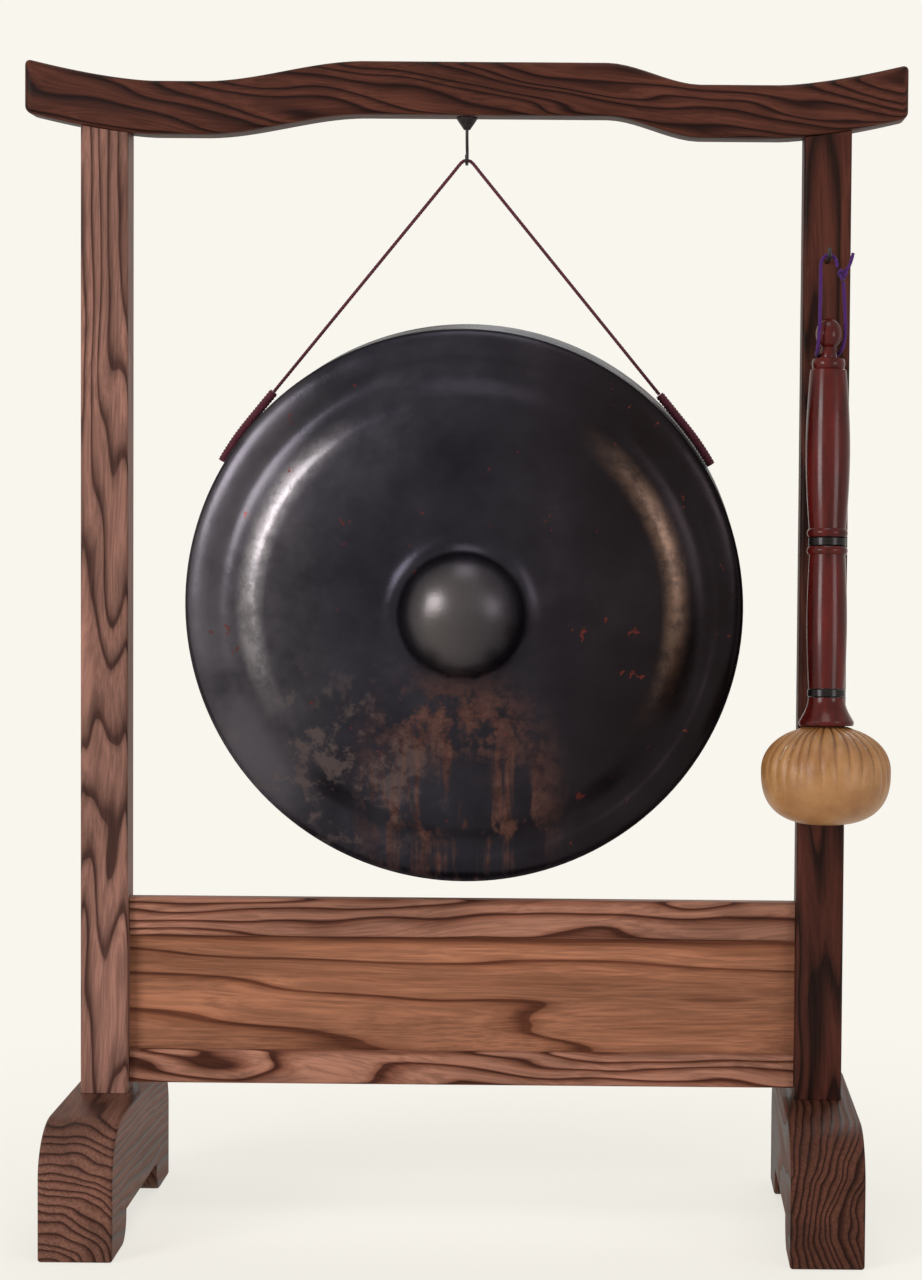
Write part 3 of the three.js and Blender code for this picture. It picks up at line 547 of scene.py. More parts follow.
handle = turned("turned_handle", handle_outline, 72, beater_place, 35)


def band_outline(top, low):
    """A flat ring with eased corners."""
    bore, outer, eased = BAND_BORE, BAND_RADIUS, 0.6
    return [(bore, top), (outer - eased, top), (outer, top - eased), (outer, low + eased),
            (outer - eased, low), (bore, low), (bore, top)]


upper_band = turned("upper_black_band", band_outline(-178.5, -184), 72, beater_place)
lower_band = turned("lower_black_band", band_outline(-273.8, -279), 72, beater_place)
flare = sweep(0, 1, 16, lambda t: (
    11.5 + 5.9 * (1 - math.cos(math.pi / 2 * t)), COLLAR_TOP - COLLAR_LENGTH * t))
collar_outline = [
    (BAND_BORE, COLLAR_TOP), *flare, (17.4, -296), (16.9, -297), (14.9, -297), (9, -291),
    (BAND_BORE, -291), (BAND_BORE, COLLAR_TOP),
]
collar = turned("flared_collar", collar_outline, 72, beater_place)
for lacquered, stands_for, slot in (
    (handle, "beater_handle", "red_lacquer"), (collar, "beater_ferrule", "red_lacquer"),
    (upper_band, "upper_band", "black_lacquer"), (lower_band, "lower_band", "black_lacquer"),
):
    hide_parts(stands_for)
    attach(lacquered, "beater")

# %% [markdown]
# ## The leather head
#
# The head is a disc of soft leather drawn up over a felt core and tied at the neck. The core pushes
# it out, so it is inflated as cloth first. The gathers come after: deep at the neck, where all the
# leather has to pass under the collar, and gone by the widest part.

# %% The stuffed leather
HEAD_TOP, HEAD_LOW, HEAD_MIDDLE = -295, -361, -325
HEAD_RADIUS = 42.4
GATHERS = 30


def head_radius(z, shrink):
    """The head's outline at a height."""
    above = z > HEAD_MIDDLE
    reach = (30 if above else 36) - shrink
    power = 2.1 if above else 2.6
    share = min(1, abs(z - HEAD_MIDDLE) / reach)
    return (HEAD_RADIUS - shrink) * (1 - share ** power) ** (1 / power)


SHRINK = 1.6
low_end, high_end = HEAD_LOW + SHRINK, HEAD_TOP - 4
head_outline = sweep(0, 1, 44, lambda t: (
    lambda z: (max(head_radius(z, SHRINK), 0 if t < 0.5 else 14), z)
)(low_end + (high_end - low_end) * (1 - math.cos(math.pi * t)) / 2))
head_outline = [(0, low_end), *head_outline[1:], (13.6, HEAD_TOP - 2.5), (0, HEAD_TOP - 2.5)]
head = turned("leather_head", head_outline, 240, Matrix.Identity(4), 60)


def inflate(stuffed, pressure, cap):
    """Blow a closed piece up as cloth, and hold each point to a small move."""
    rest = [v.co.copy() for v in stuffed.data.vertices]
    cloth = stuffed.modifiers.new("stuffing", "CLOTH")
    cloth.settings.use_pressure = True
    cloth.settings.uniform_pressure_force = pressure
    cloth.settings.effector_weights.gravity = 0
    cloth.settings.quality = 4
    cloth.point_cache.frame_start, cloth.point_cache.frame_end = 1, 12
    for moment in range(1, 13):
        bpy.context.scene.frame_set(moment)
    posed = stuffed.evaluated_get(bpy.context.evaluated_depsgraph_get())
    moved = [v.co.copy() for v in posed.data.vertices]
    stuffed.modifiers.remove(cloth)
    bpy.context.scene.frame_set(1)
    for vertex, old, new in zip(stuffed.data.vertices, rest, moved):
        shift = new - old
        if shift.length > cap:
            shift *= cap / shift.length
        vertex.co = old + shift


inflate(head, 4, 1.2 * MM)

# %% The gathers
gather_mask = head.data.attributes.new("gather", "FLOAT", "POINT")
values = []
for vertex in head.data.vertices:
    x, y, z = vertex.co / MM
    angle = math.atan2(y, x)
    high = min(1, max(0, (z - (HEAD_MIDDLE - 22)) / (HEAD_TOP - 4 - (HEAD_MIDDLE - 22))))
    wander = 0.45 * math.sin(3 * angle + 0.7) + 0.3 * math.sin(7 * angle + 2.1)
    phase = GATHERS * angle + 2.4 * wander + 0.5 * math.sin(z * 0.13 + 5 * angle)
    fold = 1 - abs(math.sin(phase / 2)) ** 0.75
    uneven = 0.62 + 0.38 * math.sin(5 * angle + 1.3) * math.sin(2 * angle)
    depth = 5.6 * uneven * high ** 1.5
    reach = math.hypot(x, y)
    taper = min(1, reach / 20)
    if reach > 0.5:
        vertex.co.x -= x / reach * depth * fold * taper * MM
        vertex.co.y -= y / reach * depth * fold * taper * MM
    values.append(min(1, fold * high ** 0.8))
gather_mask.data.foreach_set("value", values)
head.data.transform(beater_place)
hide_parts("leather_cover")
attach(head, "beater")
print("leather head:", len(head.data.polygons), "faces")

# %% [markdown]
# ## Shader helpers
#
# A node tree is easier to read as a list of calls. These helpers add a node, set its values and
# join its sockets.

# %% Shader helpers
def node(tree, kind, values=(), **settings):
    """Add a node, with settings by name and input values by socket."""
    added = tree.nodes.new(kind)
    for setting, value in settings.items():
        setattr(added, setting, value)
    for socket, value in dict(values).items():
        if isinstance(value, bpy.types.NodeSocket):
            tree.links.new(value, added.inputs[socket])
        else:
            added.inputs[socket].default_value = value
    return added


def maths(tree, operation, a, b=0.0, clamp=False):
    """A Math node's output."""
    return node(tree, "ShaderNodeMath", {0: a, 1: b}, operation=operation, use_clamp=clamp).outputs[0]


def vector_maths(tree, operation, a, b=(0.0, 0.0, 0.0)):
    """A Vector Math node's output."""
    added = node(tree, "ShaderNodeVectorMath", {0: a, 1: b}, operation=operation)
    return added.outputs["Value" if operation == "LENGTH" else "Vector"]


def object_coords(tree):
    """Where a point lies on the object, in metres."""
    return node(tree, "ShaderNodeTexCoord").outputs["Object"]


def ramp(tree, value, stops):
    """A colour ramp from (position, colour) stops."""
    added = node(tree, "ShaderNodeValToRGB", {"Fac": value})
    while len(added.color_ramp.elements) < len(stops):
        added.color_ramp.elements.new(0.5)
    for element, (position, color) in zip(added.color_ramp.elements, stops):
        element.position = position
        element.color = (*color, 1)
    return added.outputs["Color"]


def mixed(tree, factor, a, b, blend="MIX"):
    """A colour Mix node's output."""
    added = node(tree, "ShaderNodeMix", data_type="RGBA", blend_type=blend)
    for socket, value in ((added.inputs[0], factor), (added.inputs[6], a), (added.inputs[7], b)):
        if isinstance(value, bpy.types.NodeSocket):
            tree.links.new(value, socket)
        else:
            socket.default_value = value if isinstance(value, float) else (*value, 1)
    return added.outputs[2]


def noise(tree, vector, scale, detail=3.0, roughness=0.55):
    """A Noise Texture's value."""
    return node(tree, "ShaderNodeTexNoise", {
        "Vector": vector, "Scale": scale, "Detail": detail, "Roughness": roughness,
    }).outputs["Fac"]


def ranged(tree, value, from_low, from_high, to_low=0.0, to_high=1.0):
    """A clamped Map Range node's output."""
    return node(tree, "ShaderNodeMapRange", {
        "Value": value, "From Min": from_low, "From Max": from_high,
        "To Min": to_low, "To Max": to_high,
    }, interpolation_type="SMOOTHSTEP").outputs["Result"]


def seen_as(r, g, b):
    """A colour as it looks on a screen, for a shader."""
    def linear(c):
        c /= 255
        return c / 12.92 if c <= 0.04045 else ((c + 0.055) / 1.055) ** 2.4
    return (linear(r), linear(g), linear(b))


def new_material(name):
    """An empty material with its Principled shader."""
    material = bpy.data.materials.new(name)
    material.use_nodes = True
    tree = material.node_tree
    tree.nodes.clear()
    shader = node(tree, "ShaderNodeBsdfPrincipled")
    output = node(tree, "ShaderNodeOutputMaterial")
    tree.links.new(shader.outputs[0], output.inputs[0])
    return material, tree, shader


def bumped(tree, shader, height, strength, distance):
    """Join a height to the shader's normal."""
    bump = node(tree, "ShaderNodeBump", {
        "Height": height, "Strength": strength, "Distance": distance})
    tree.links.new(bump.outputs[0], shader.inputs["Normal"])


def new_group(name, inputs, outputs):
    """An empty shader node group with its named sockets."""
    group = bpy.data.node_groups.new(name, "ShaderNodeTree")
    for label, kind, value in inputs:
        socket = group.interface.new_socket(label, in_out="INPUT", socket_type=kind)
        if value is not None:
            socket.default_value = value
    for label in outputs:
        group.interface.new_socket(label, in_out="OUTPUT", socket_type="NodeSocketFloat")
    return group, node(group, "NodeGroupInput").outputs, node(group, "NodeGroupOutput").inputs


print("shader helpers ready")

# %% [markdown]
# ## Growth rings
#
# Wood grain is what is left of a tree's rings once a saw has gone through them. So the pattern is
# made solid: rings round a pith line that wanders, cut by whatever surface the piece has. Faces
# along the grain then show long loops, and the ends of the feet show nested arcs, with no seams.

# %% Growth ring group
rings_group, ring_in, ring_out = new_group(
    "growth_rings",
    [("Vector", "NodeSocketVector", None), ("Spacing", "NodeSocketFloat", 200.0),
     ("Wander", "NodeSocketFloat", 0.01), ("Stretch", "NodeSocketFloat", 0.2)],
    ["Ring", "Fibre", "Blotch"],
)
lengthwise = node(rings_group, "ShaderNodeCombineXYZ", {
    0: 1.0, 1: 1.0, 2: ring_in["Stretch"]}).outputs[0]
stretched = vector_maths(rings_group, "MULTIPLY", ring_in["Vector"], lengthwise)
drift = node(rings_group, "ShaderNodeTexNoise", {
    "Vector": stretched, "Scale": 22.0, "Detail": 2.0}).outputs["Color"]
centred = vector_maths(rings_group, "SUBTRACT", drift, (0.5, 0.5, 0.5))
pushed = node(rings_group, "ShaderNodeVectorMath", {0: centred, "Scale": ring_in["Wander"]},
              operation="SCALE").outputs[0]
warped = vector_maths(rings_group, "ADD", ring_in["Vector"], pushed)
from_pith = vector_maths(rings_group, "LENGTH", vector_maths(
    rings_group, "MULTIPLY", warped, (1.0, 1.0, 0.0)))
uneven_years = node(rings_group, "ShaderNodeTexNoise", {
    "W": from_pith, "Scale": 70.0, "Detail": 1.0}, noise_dimensions="1D").outputs["Fac"]
years = maths(rings_group, "ADD", maths(rings_group, "MULTIPLY", from_pith, ring_in["Spacing"]),
              maths(rings_group, "MULTIPLY", uneven_years, 1.6))
rings_group.links.new(maths(rings_group, "FRACT", years), ring_out["Ring"])
thready = vector_maths(rings_group, "MULTIPLY", warped, (1.0, 1.0, 0.03))
rings_group.links.new(noise(rings_group, thready, 620.0, 3.0, 0.65), ring_out["Fibre"])
rings_group.links.new(noise(rings_group, stretched, 30.0, 3.0, 0.5), ring_out["Blotch"])
print("growth ring group:", len(rings_group.nodes), "nodes")

# %% [markdown]
# ## Wood finishes
#
# Every piece of the stand was cut from a different place in the tree, so each gets its own pith
# line. The charred and brushed surface is darkest in the hard late wood, which also stands proud.

# %% Wood
def wood(name, pith, along, spacing, wander, stretch, colors, gloss=0.5, relief=0.5):
    """Wood with its pith through a point and its grain turned by some degrees."""
    material, tree, shader = new_material(name)
    turn = tuple(math.radians(a) for a in along)
    grain_space = node(tree, "ShaderNodeMapping", {
        "Vector": object_coords(tree), "Location": pith, "Rotation": turn,
    }, vector_type="TEXTURE").outputs[0]
    rings = node(tree, "ShaderNodeGroup", node_tree=rings_group)
    tree.links.new(grain_space, rings.inputs["Vector"])
    rings.inputs["Spacing"].default_value = spacing
    rings.inputs["Wander"].default_value = wander
    rings.inputs["Stretch"].default_value = stretch
    light, middle, dark = colors
    base = ramp(tree, rings.outputs["Ring"], [
        (0.0, middle), (0.12, light), (0.45, light), (0.72, middle), (0.88, dark), (0.97, dark),
        (1.0, middle)])
    fibre = ranged(tree, rings.outputs["Fibre"], 0.3, 0.7, 0.72, 1.22)
    patch = ranged(tree, rings.outputs["Blotch"], 0.3, 0.7, 0.78, 1.22)
    shade = maths(tree, "MULTIPLY", fibre, patch)
    tint = node(tree, "ShaderNodeCombineColor", {0: shade, 1: shade, 2: shade}).outputs[0]
    tree.links.new(mixed(tree, 1.0, base, tint, "MULTIPLY"), shader.inputs["Base Color"])
    rough = ranged(tree, rings.outputs["Ring"], 0.2, 0.9, gloss + 0.1, gloss - 0.06)
    shader.inputs["Specular IOR Level"].default_value = 0.08
    tree.links.new(rough, shader.inputs["Roughness"])
    hard = ranged(tree, rings.outputs["Ring"], 0.5, 0.9, 0.0, 1.0)
    height = maths(tree, "ADD", hard, maths(tree, "MULTIPLY", rings.outputs["Fibre"], 0.5))
    bumped(tree, shader, height, relief, 0.4 * MM)
    return material


# each piece: a point on its pith line in metres, its grain's turn in degrees, rings to the metre,
# how far they wander in metres, how fast they change along the grain, and its tones
BEAM_TONES = (seen_as(74, 40, 30), seen_as(54, 27, 20), seen_as(28, 11, 8))
LEFT_TONES = (seen_as(132, 94, 82), seen_as(108, 76, 66), seen_as(68, 43, 37))
RIGHT_TONES = (seen_as(70, 36, 28), seen_as(52, 26, 19), seen_as(32, 15, 11))
RAIL_TONES = (seen_as(142, 98, 80), seen_as(112, 70, 54), seen_as(64, 33, 23))
PANEL_TONES = (seen_as(144, 95, 71), seen_as(124, 78, 56), seen_as(84, 46, 31))
LEFT_FOOT_TONES = (seen_as(106, 72, 60), seen_as(86, 55, 45), seen_as(50, 29, 23))
RIGHT_FOOT_TONES = (seen_as(80, 48, 37), seen_as(60, 33, 24), seen_as(34, 15, 10))
woods = {
    "beam": wood(
        "beam_wood", (0.05, 0.075, 0.66), (0, 97, 4), 190, 0.05, 0.22, BEAM_TONES),
    "left_post": wood(
        "left_post_wood", (-0.222, 0.03, 0.4), (4, 1.5, 0), 230, 0.035, 0.16, LEFT_TONES),
    "right_post": wood(
        "right_post_wood", (0.24, 0.04, 0.3), (-3, -1, 0), 220, 0.035, 0.16, RIGHT_TONES),
    "top_rail": wood(
        "top_rail_wood", (0.1, 0.06, 0.16), (0, 86, 3), 190, 0.04, 0.2, RAIL_TONES),
    "bottom_rail": wood(
        "bottom_rail_wood", (0, 0.06, 0.06), (0, 96, -3), 190, 0.04, 0.2, RAIL_TONES),
    "panel": wood(
        "panel_plank_wood", (-0.1, 0.09, 0.1), (0, 90.5, 2), 85, 0.035, 0.12, PANEL_TONES, 0.45, 0.25),
    "left_foot": wood(
        "left_foot_wood", (-0.25, 0, -0.01), (88, 0, 2), 190, 0.02, 0.2, LEFT_FOOT_TONES),
    "right_foot": wood(
        "right_foot_wood", (0.36, 0, 0.03), (91, 0, -2), 230, 0.022, 0.2, RIGHT_FOOT_TONES),
}
print("wood finishes:", sorted(woods))

# %% Give the stand its wood
def finish_with(target, material):
    """Put one material in an object's slots."""
    target.data.materials.clear()
    target.data.materials.append(material)


def refinish(name, material):
    """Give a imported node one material, and leave its mesh alone."""
    for material_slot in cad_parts[name].material_slots:
        material_slot.material = material


finish_with(beam, woods["beam"])
finish_with(feet["left"], woods["left_foot"])
finish_with(feet["right"], woods["right_foot"])
for name in ("left_post", "right_post", "top_rail", "bottom_rail", "panel"):
    refinish(name, woods[name])
print("stand finished")

# %% [markdown]
# ## Bronze
#
# Old bronze goes blue-black. A dull silver reflection is painted on the left, with painted highlights
# on the roll round the plate and on the boss, painted shade on the right and a warm brown painted
# reflection on the roll at the right. Below the boss the patina has broken down to rust, which has
# run towards the rim. The pattern is laid out in the gong's own axes, so a Mapping node turns and
# moves it to where the gong hangs.

# %% Gong bronze
ROLL_AT, ROLL_HALF = 0.137, 0.011  # the roll between plate and ring, in metres from the middle
RUST_MIDDLE, RUST_REACH = (-0.004, 0, -0.118), (0.082, 1, 0.098)
MOTTLE_MIDDLE, MOTTLE_REACH = (-0.085, 0, -0.105), (0.09, 1, 0.08)

bronze, tree, shader = new_material("gong_patina")
own = node(tree, "ShaderNodeMapping", {
    "Vector": object_coords(tree), "Location": tuple(gong_place.translation),
    "Rotation": (math.radians(GONG_LEAN), 0, 0),
}, vector_type="TEXTURE").outputs[0]
axes = node(tree, "ShaderNodeSeparateXYZ", {0: own}).outputs
to_right, height_up = axes["X"], axes["Z"]
face_on = vector_maths(tree, "MULTIPLY", own, (1.0, 0.0, 1.0))
radius = vector_maths(tree, "LENGTH", face_on)


def both(*masks):
    """Masks multiplied together in the bronze."""
    product = masks[0]
    for mask in masks[1:]:
        product = maths(tree, "MULTIPLY", product, mask)
    return product


def oval(middle, reach):
    """0 at a spot on the gong's face and 1 at the edge of an oval round it."""
    return vector_maths(tree, "LENGTH", node(tree, "ShaderNodeMapping", {
        "Vector": face_on, "Location": middle, "Scale": reach}, vector_type="TEXTURE").outputs[0])


cloud = noise(tree, own, 14.0, 5.0, 0.6)
speckle = noise(tree, own, 95.0, 6.0, 0.7)
grit = noise(tree, own, 420.0, 3.0, 0.6)
base = ramp(tree, cloud, [
    (0.3, seen_as(34, 32, 38)), (0.55, seen_as(46, 44, 51)), (0.75, seen_as(60, 57, 64))])

# painted reflection on the left and painted highlights on the roll and the boss,
# and painted shade and a warm painted reflection on the right
painted_left_reflection = both(ranged(tree, to_right, -0.06, -0.15, 0.0, 0.62),
                   ranged(tree, cloud, 0.3, 0.6, 0.35, 1.0))
base = mixed(tree, painted_left_reflection, base, seen_as(92, 88, 93))
near_roll = maths(tree, "ABSOLUTE", maths(tree, "SUBTRACT", radius, ROLL_AT))
# a band on the roll's upper part, which carries the painted highlight on the left and the painted
# reflection on the right
roll_band_mask = both(ranged(tree, near_roll, ROLL_HALF, 0.002), ranged(tree, height_up, -0.08, 0.0))
# painted highlight: the roll is lightened to silver on the left, where the left lamp catches it
painted_roll_highlight = both(roll_band_mask, ranged(tree, to_right, -0.06, -0.13, 0.0, 0.62),
                 ranged(tree, speckle, 0.36, 0.6, 0.45, 1.0))
base = mixed(tree, painted_roll_highlight, base, seen_as(156, 150, 152))
# painted highlight: the boss is lightened, most on its left
painted_boss_highlight = both(ranged(tree, radius, 0.042, 0.02, 0.0, 0.5),
                 ranged(tree, to_right, 0.03, -0.02, 0.35, 1.0))
base = mixed(tree, painted_boss_highlight, base, seen_as(104, 98, 96))
# painted shade: the face is darkened towards the right
painted_right_shade = ranged(tree, to_right, -0.02, 0.12, 0.0, 0.75)
base = mixed(tree, painted_right_shade, base, seen_as(28, 21, 20))
# painted reflection: a warm brown gleam on the roll at the right
painted_right_reflection = both(roll_band_mask, ranged(tree, to_right, 0.07, 0.13, 0.0, 0.45),
               ranged(tree, speckle, 0.36, 0.6, 0.4, 1.0))
base = mixed(tree, painted_right_reflection, base, seen_as(132, 104, 88))

# rust: broken patches under the boss, and runs below them
runs = noise(tree, vector_maths(tree, "MULTIPLY", own, (1.0, 1.0, 0.06)), 80.0, 3.0, 0.6)
low_down = ranged(tree, height_up, -0.06, -0.12)
drips = both(ranged(tree, runs, 0.46, 0.6), low_down)
broken = maths(tree, "ADD", speckle, maths(tree, "MULTIPLY", noise(tree, own, 34.0, 4.0, 0.6), 0.9))
upper_rust = both(ranged(tree, broken, 0.82, 1.0), maths(tree, "SUBTRACT", 1.0, low_down))
rust_mask = both(ranged(tree, oval(RUST_MIDDLE, RUST_REACH), 1.0, 0.45),
                 maths(tree, "ADD", drips, upper_rust, clamp=True))
rust_tone = ramp(tree, speckle, [(0.35, seen_as(50, 32, 28)), (0.65, seen_as(88, 60, 53))])
base = mixed(tree, rust_mask, base, rust_tone)

# a grey-brown mottle low on the left, and a few red specks
mottle = both(ranged(tree, oval(MOTTLE_MIDDLE, MOTTLE_REACH), 1.1, 0.3, 0.0, 0.6),
              ranged(tree, broken, 0.96, 1.12))
base = mixed(tree, mottle, base, seen_as(88, 74, 70))
specks = maths(tree, "MULTIPLY", ranged(tree, noise(tree, own, 60.0, 4.0, 0.75), 0.66, 0.7), 0.8)
base = mixed(tree, specks, base, seen_as(98, 44, 38))
tree.links.new(base, shader.inputs["Base Color"])

dull = maths(tree, "MAXIMUM", rust_mask, mottle)
metal = maths(tree, "SUBTRACT", 0.8, maths(tree, "MULTIPLY", dull, 0.75))
tree.links.new(metal, shader.inputs["Metallic"])
rough = maths(tree, "ADD", ranged(tree, cloud, 0.3, 0.7, 0.25, 0.37),
              maths(tree, "MULTIPLY", dull, 0.35))
tree.links.new(rough, shader.inputs["Roughness"])
shader.inputs["Specular IOR Level"].default_value = 0.2
shader.inputs["Specular Tint"].default_value = (0.16, 0.16, 0.19, 1)
fine = maths(tree, "ADD", maths(tree, "MULTIPLY", speckle, 0.5), maths(tree, "MULTIPLY", grit, 0.35))
hammered = maths(tree, "MULTIPLY", noise(tree, own, 26.0, 2.0, 0.4), 6.0)
bumped(tree, shader, maths(tree, "ADD", hammered, fine), 0.35, 0.5 * MM)
finish_with(gong, bronze)
print("bronze:", len(tree.nodes), "nodes")

# %% [markdown]
# ## Cord
#
# The strands are real shapes, so the finish only needs the fine yarns, which cross each strand at a
# slant. They follow the cord's own UV map.

# %% Cord finish
def twisted(name, light, dark, yarns, sheen):
    """Cord with yarns that slant across it."""
    material, tree, shader = new_material(name)
    layout = node(tree, "ShaderNodeUVMap", uv_map="cord").outputs[0]
    across = node(tree, "ShaderNodeSeparateXYZ", {0: layout}).outputs
    slant = maths(tree, "ADD", maths(tree, "MULTIPLY", across["X"], 9.0),
                  maths(tree, "MULTIPLY", across["Y"], yarns))
    line = maths(tree, "ABSOLUTE", maths(tree, "SUBTRACT", maths(tree, "FRACT", slant), 0.5))
    # painted light and shade: each yarn is lit along its crest and darkened in the groove beside it
    lit = ranged(tree, line, 0.05, 0.45)
    fuzz = noise(tree, object_coords(tree), 900.0, 2.0)
    tone = mixed(tree, lit, dark, light)
    shade = ranged(tree, fuzz, 0.3, 0.7, 0.75, 1.2)
    tint = node(tree, "ShaderNodeCombineColor", {0: shade, 1: shade, 2: shade}).outputs[0]
    tree.links.new(mixed(tree, 1.0, tone, tint, "MULTIPLY"), shader.inputs["Base Color"])
    shader.inputs["Roughness"].default_value = 0.7
    shader.inputs["Specular IOR Level"].default_value = 0.2
    shader.inputs["Sheen Weight"].default_value = sheen
    bumped(tree, shader, lit, 0.6, 0.15 * MM)
    return material


crimson = twisted("crimson_cord", seen_as(104, 40, 56), seen_as(42, 13, 23), 1300.0, 0.1)
purple = twisted("purple_cord_silk", seen_as(86, 26, 118), seen_as(32, 9, 48), 1100.0, 0.1)
for corded in (gong_cord, *[pair[0] for pair in lashings.values()], *rim_knots.values()):
    finish_with(corded, crimson)
finish_with(beater_cord, purple)
finish_with(loop_knot, purple)
print("cords finished")

# %% [markdown]
# ## Lacquer, leather, felt and iron
#
# The handle is wood under a deep red gloss, darker where the lacquer has pooled. The leather is
# pale gold, darkened to brown by painted shade in its folds, and lightly creased. The iron is
# blackened and a little pitted.

# %% Lacquer
def lacquer(name, light, dark):
    """A clear gloss over a colour that varies a little."""
    material, tree, shader = new_material(name)
    coords = object_coords(tree)
    streaky = vector_maths(tree, "MULTIPLY", coords, (1.0, 1.0, 0.15))
    depth = noise(tree, streaky, 120.0, 3.0)
    tree.links.new(ramp(tree, depth, [(0.3, dark), (0.7, light)]), shader.inputs["Base Color"])
    rough = ranged(tree, noise(tree, coords, 60.0, 2.0), 0.3, 0.7, 0.2, 0.34)
    tree.links.new(rough, shader.inputs["Roughness"])
    shader.inputs["Specular IOR Level"].default_value = 0.12
    shader.inputs["Coat Weight"].default_value = 0.16
    shader.inputs["Coat Roughness"].default_value = 0.12
    bumped(tree, shader, noise(tree, coords, 260.0, 2.0), 0.08, 0.2 * MM)
    return material


red_lacquer = lacquer("red_lacquer_coat", seen_as(88, 22, 18), seen_as(48, 7, 5))
black_lacquer = lacquer("black_lacquer_coat", seen_as(26, 18, 18), seen_as(12, 9, 9))
finish_with(handle, red_lacquer)
finish_with(collar, red_lacquer)
finish_with(upper_band, black_lacquer)
finish_with(lower_band, black_lacquer)
print("lacquer ready")

# %% Leather
leather, tree, shader = new_material("gathered_leather")
coords = object_coords(tree)
folds = node(tree, "ShaderNodeAttribute", attribute_name="gather").outputs["Fac"]
hide = ramp(tree, noise(tree, coords, 45.0, 4.0), [
    (0.3, seen_as(132, 86, 45)), (0.7, seen_as(166, 120, 74))])
# painted shade: the leather darkens to brown deep in the gathered folds
hide = mixed(tree, ranged(tree, folds, 0.2, 0.85, 0.0, 0.9), hide, seen_as(92, 50, 18))
tree.links.new(hide, shader.inputs["Base Color"])
shader.inputs["Roughness"].default_value = 0.42
shader.inputs["Specular IOR Level"].default_value = 0.4
pores = node(tree, "ShaderNodeTexVoronoi", {"Vector": coords, "Scale": 900.0}).outputs["Distance"]
creases = noise(tree, coords, 190.0, 4.0, 0.6)
bumped(tree, shader, maths(tree, "ADD", pores, maths(tree, "MULTIPLY", creases, 1.6)), 0.4, 0.25 * MM)
finish_with(head, leather)
print("leather ready")

# %% Felt, iron and twine
felt, tree, shader = new_material("pressed_felt")
coords = object_coords(tree)
matted = noise(tree, coords, 700.0, 4.0, 0.7)
wool = ramp(tree, matted, [(0.3, seen_as(190, 178, 148)), (0.7, seen_as(222, 212, 184))])
tree.links.new(wool, shader.inputs["Base Color"])
shader.inputs["Roughness"].default_value = 0.95
bumped(tree, shader, matted, 0.6, 0.3 * MM)

iron, tree, shader = new_material("blackened_iron")
coords = object_coords(tree)
pits = noise(tree, coords, 500.0, 4.0, 0.65)
black = ramp(tree, pits, [(0.35, seen_as(22, 20, 21)), (0.65, seen_as(52, 46, 46))])
tree.links.new(black, shader.inputs["Base Color"])
tree.links.new(ranged(tree, pits, 0.3, 0.7, 0.38, 0.6), shader.inputs["Roughness"])
shader.inputs["Metallic"].default_value = 0.7
bumped(tree, shader, pits, 0.3, 0.15 * MM)

tie_cord, tree, shader = new_material("tie_twine")
coords = object_coords(tree)
twine = ramp(tree, noise(tree, coords, 800.0, 3.0), [
    (0.3, seen_as(70, 24, 36)), (0.7, seen_as(122, 50, 68))])
tree.links.new(twine, shader.inputs["Base Color"])
shader.inputs["Roughness"].default_value = 0.8
for name in ("hook_collar", "gong_hook", "beater_hook"):
    refinish(name, iron)
refinish("head_core", felt)
refinish("leather_tie", tie_cord)
print("felt, iron and twine ready")

# %% [markdown]
# ## The studio
#
# A pale floor that fades into the cream surroundings, one large soft lamp on the left and three
# weaker ones. The cream is only what the camera and the reflections see. The light itself is white.

# %% Surroundings
CREAM = seen_as(249, 246, 238)
world = bpy.data.worlds.new("studio")
bpy.context.scene.world = world
world.use_nodes = True
tree = world.node_tree
tree.nodes.clear()
rays = node(tree, "ShaderNodeLightPath").outputs
seen = maths(tree, "MAXIMUM", maths(tree, "MAXIMUM", rays["Is Camera Ray"], rays["Is Glossy Ray"]),
             rays["Is Transmission Ray"])
plain = node(tree, "ShaderNodeBackground", {"Color": (1, 1, 1, 1), "Strength": 0.42})
cream = node(tree, "ShaderNodeBackground", {"Color": (*CREAM, 1), "Strength": 1.0})
choose = node(tree, "ShaderNodeMixShader", {0: seen})
tree.links.new(plain.outputs[0], choose.inputs[1])
tree.links.new(cream.outputs[0], choose.inputs[2])
tree.links.new(choose.outputs[0], node(tree, "ShaderNodeOutputWorld").inputs[0])
bpy.context.scene.view_settings.view_transform = "Standard"
print("surroundings ready")

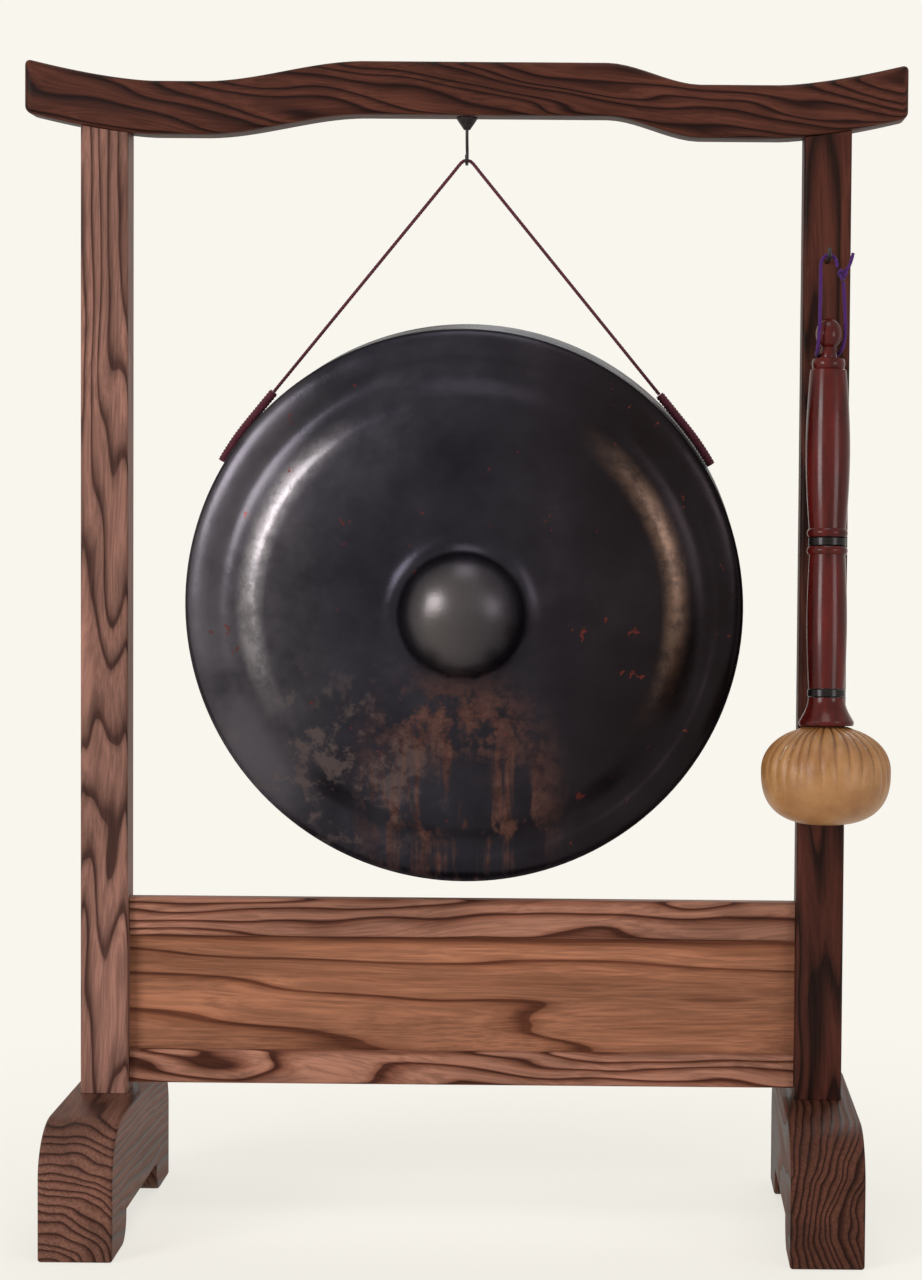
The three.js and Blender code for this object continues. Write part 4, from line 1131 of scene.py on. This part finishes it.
# %% Floor
bpy.ops.object.select_all(action="DESELECT")
bpy.ops.mesh.primitive_plane_add(size=8, location=(0, 0, 0))
floor = bpy.context.object
floor.name = "studio_floor"
floor_finish, tree, shader = new_material("pale_floor")
shader.inputs["Base Color"].default_value = (*CREAM, 1)
shader.inputs["Roughness"].default_value = 0.9
rays = node(tree, "ShaderNodeLightPath").outputs
coords = object_coords(tree)
away = node(tree, "ShaderNodeVectorMath", {0: coords}, operation="LENGTH").outputs["Value"]
glow = node(tree, "ShaderNodeEmission", {"Color": (*CREAM, 1), "Strength": 1.0})
faded = maths(tree, "MULTIPLY", ranged(tree, away, 0.2, 0.8, 0.72, 1.0),
              maths(tree, "MAXIMUM", rays["Is Camera Ray"], rays["Is Glossy Ray"]))
blend = node(tree, "ShaderNodeMixShader", {0: faded})
tree.links.new(shader.outputs[0], blend.inputs[1])
tree.links.new(glow.outputs[0], blend.inputs[2])
for socket_node in tree.nodes:
    if socket_node.bl_idname == "ShaderNodeOutputMaterial":
        tree.links.new(blend.outputs[0], socket_node.inputs[0])
finish_with(floor, floor_finish)
floor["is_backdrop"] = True
print("floor ready")

# %% Lamps
def lamp(name, place, aim, size, power):
    """A soft square lamp that points at a spot."""
    light = bpy.data.lights.new(name, "AREA")
    light.shape, light.size, light.energy = "SQUARE", size, power
    lamp_object = bpy.data.objects.new(name, light)
    towards = Vector(aim) - Vector(place)
    turn = towards.to_track_quat("-Z", "Y").to_matrix().to_4x4()
    lamp_object.matrix_world = Matrix.Translation(place) @ turn
    bpy.context.scene.collection.objects.link(lamp_object)


lamp("key", (-1.6, -1.8, 0.85), (0, 0, 0.4), 0.9, 32)
lamp("fill", (1.7, -1.6, 0.6), (0, 0, 0.4), 0.8, 11)
lamp("overhead", (0.1, -0.7, 2.3), (0, 0, 0.4), 0.9, 9)
lamp("back", (0.4, 1.8, 1.7), (0, 0, 0.4), 1.2, 14)
print("lamps lit")

# %% The sizes of the imported model and of the finished scene
def as_list(value):
    """Vectors and tuples as plain lists."""
    return [as_list(v) for v in value] if isinstance(value, (tuple, list, Vector)) else float(value)


{"cad": as_list(cad_box), "visual": as_list(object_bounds())}
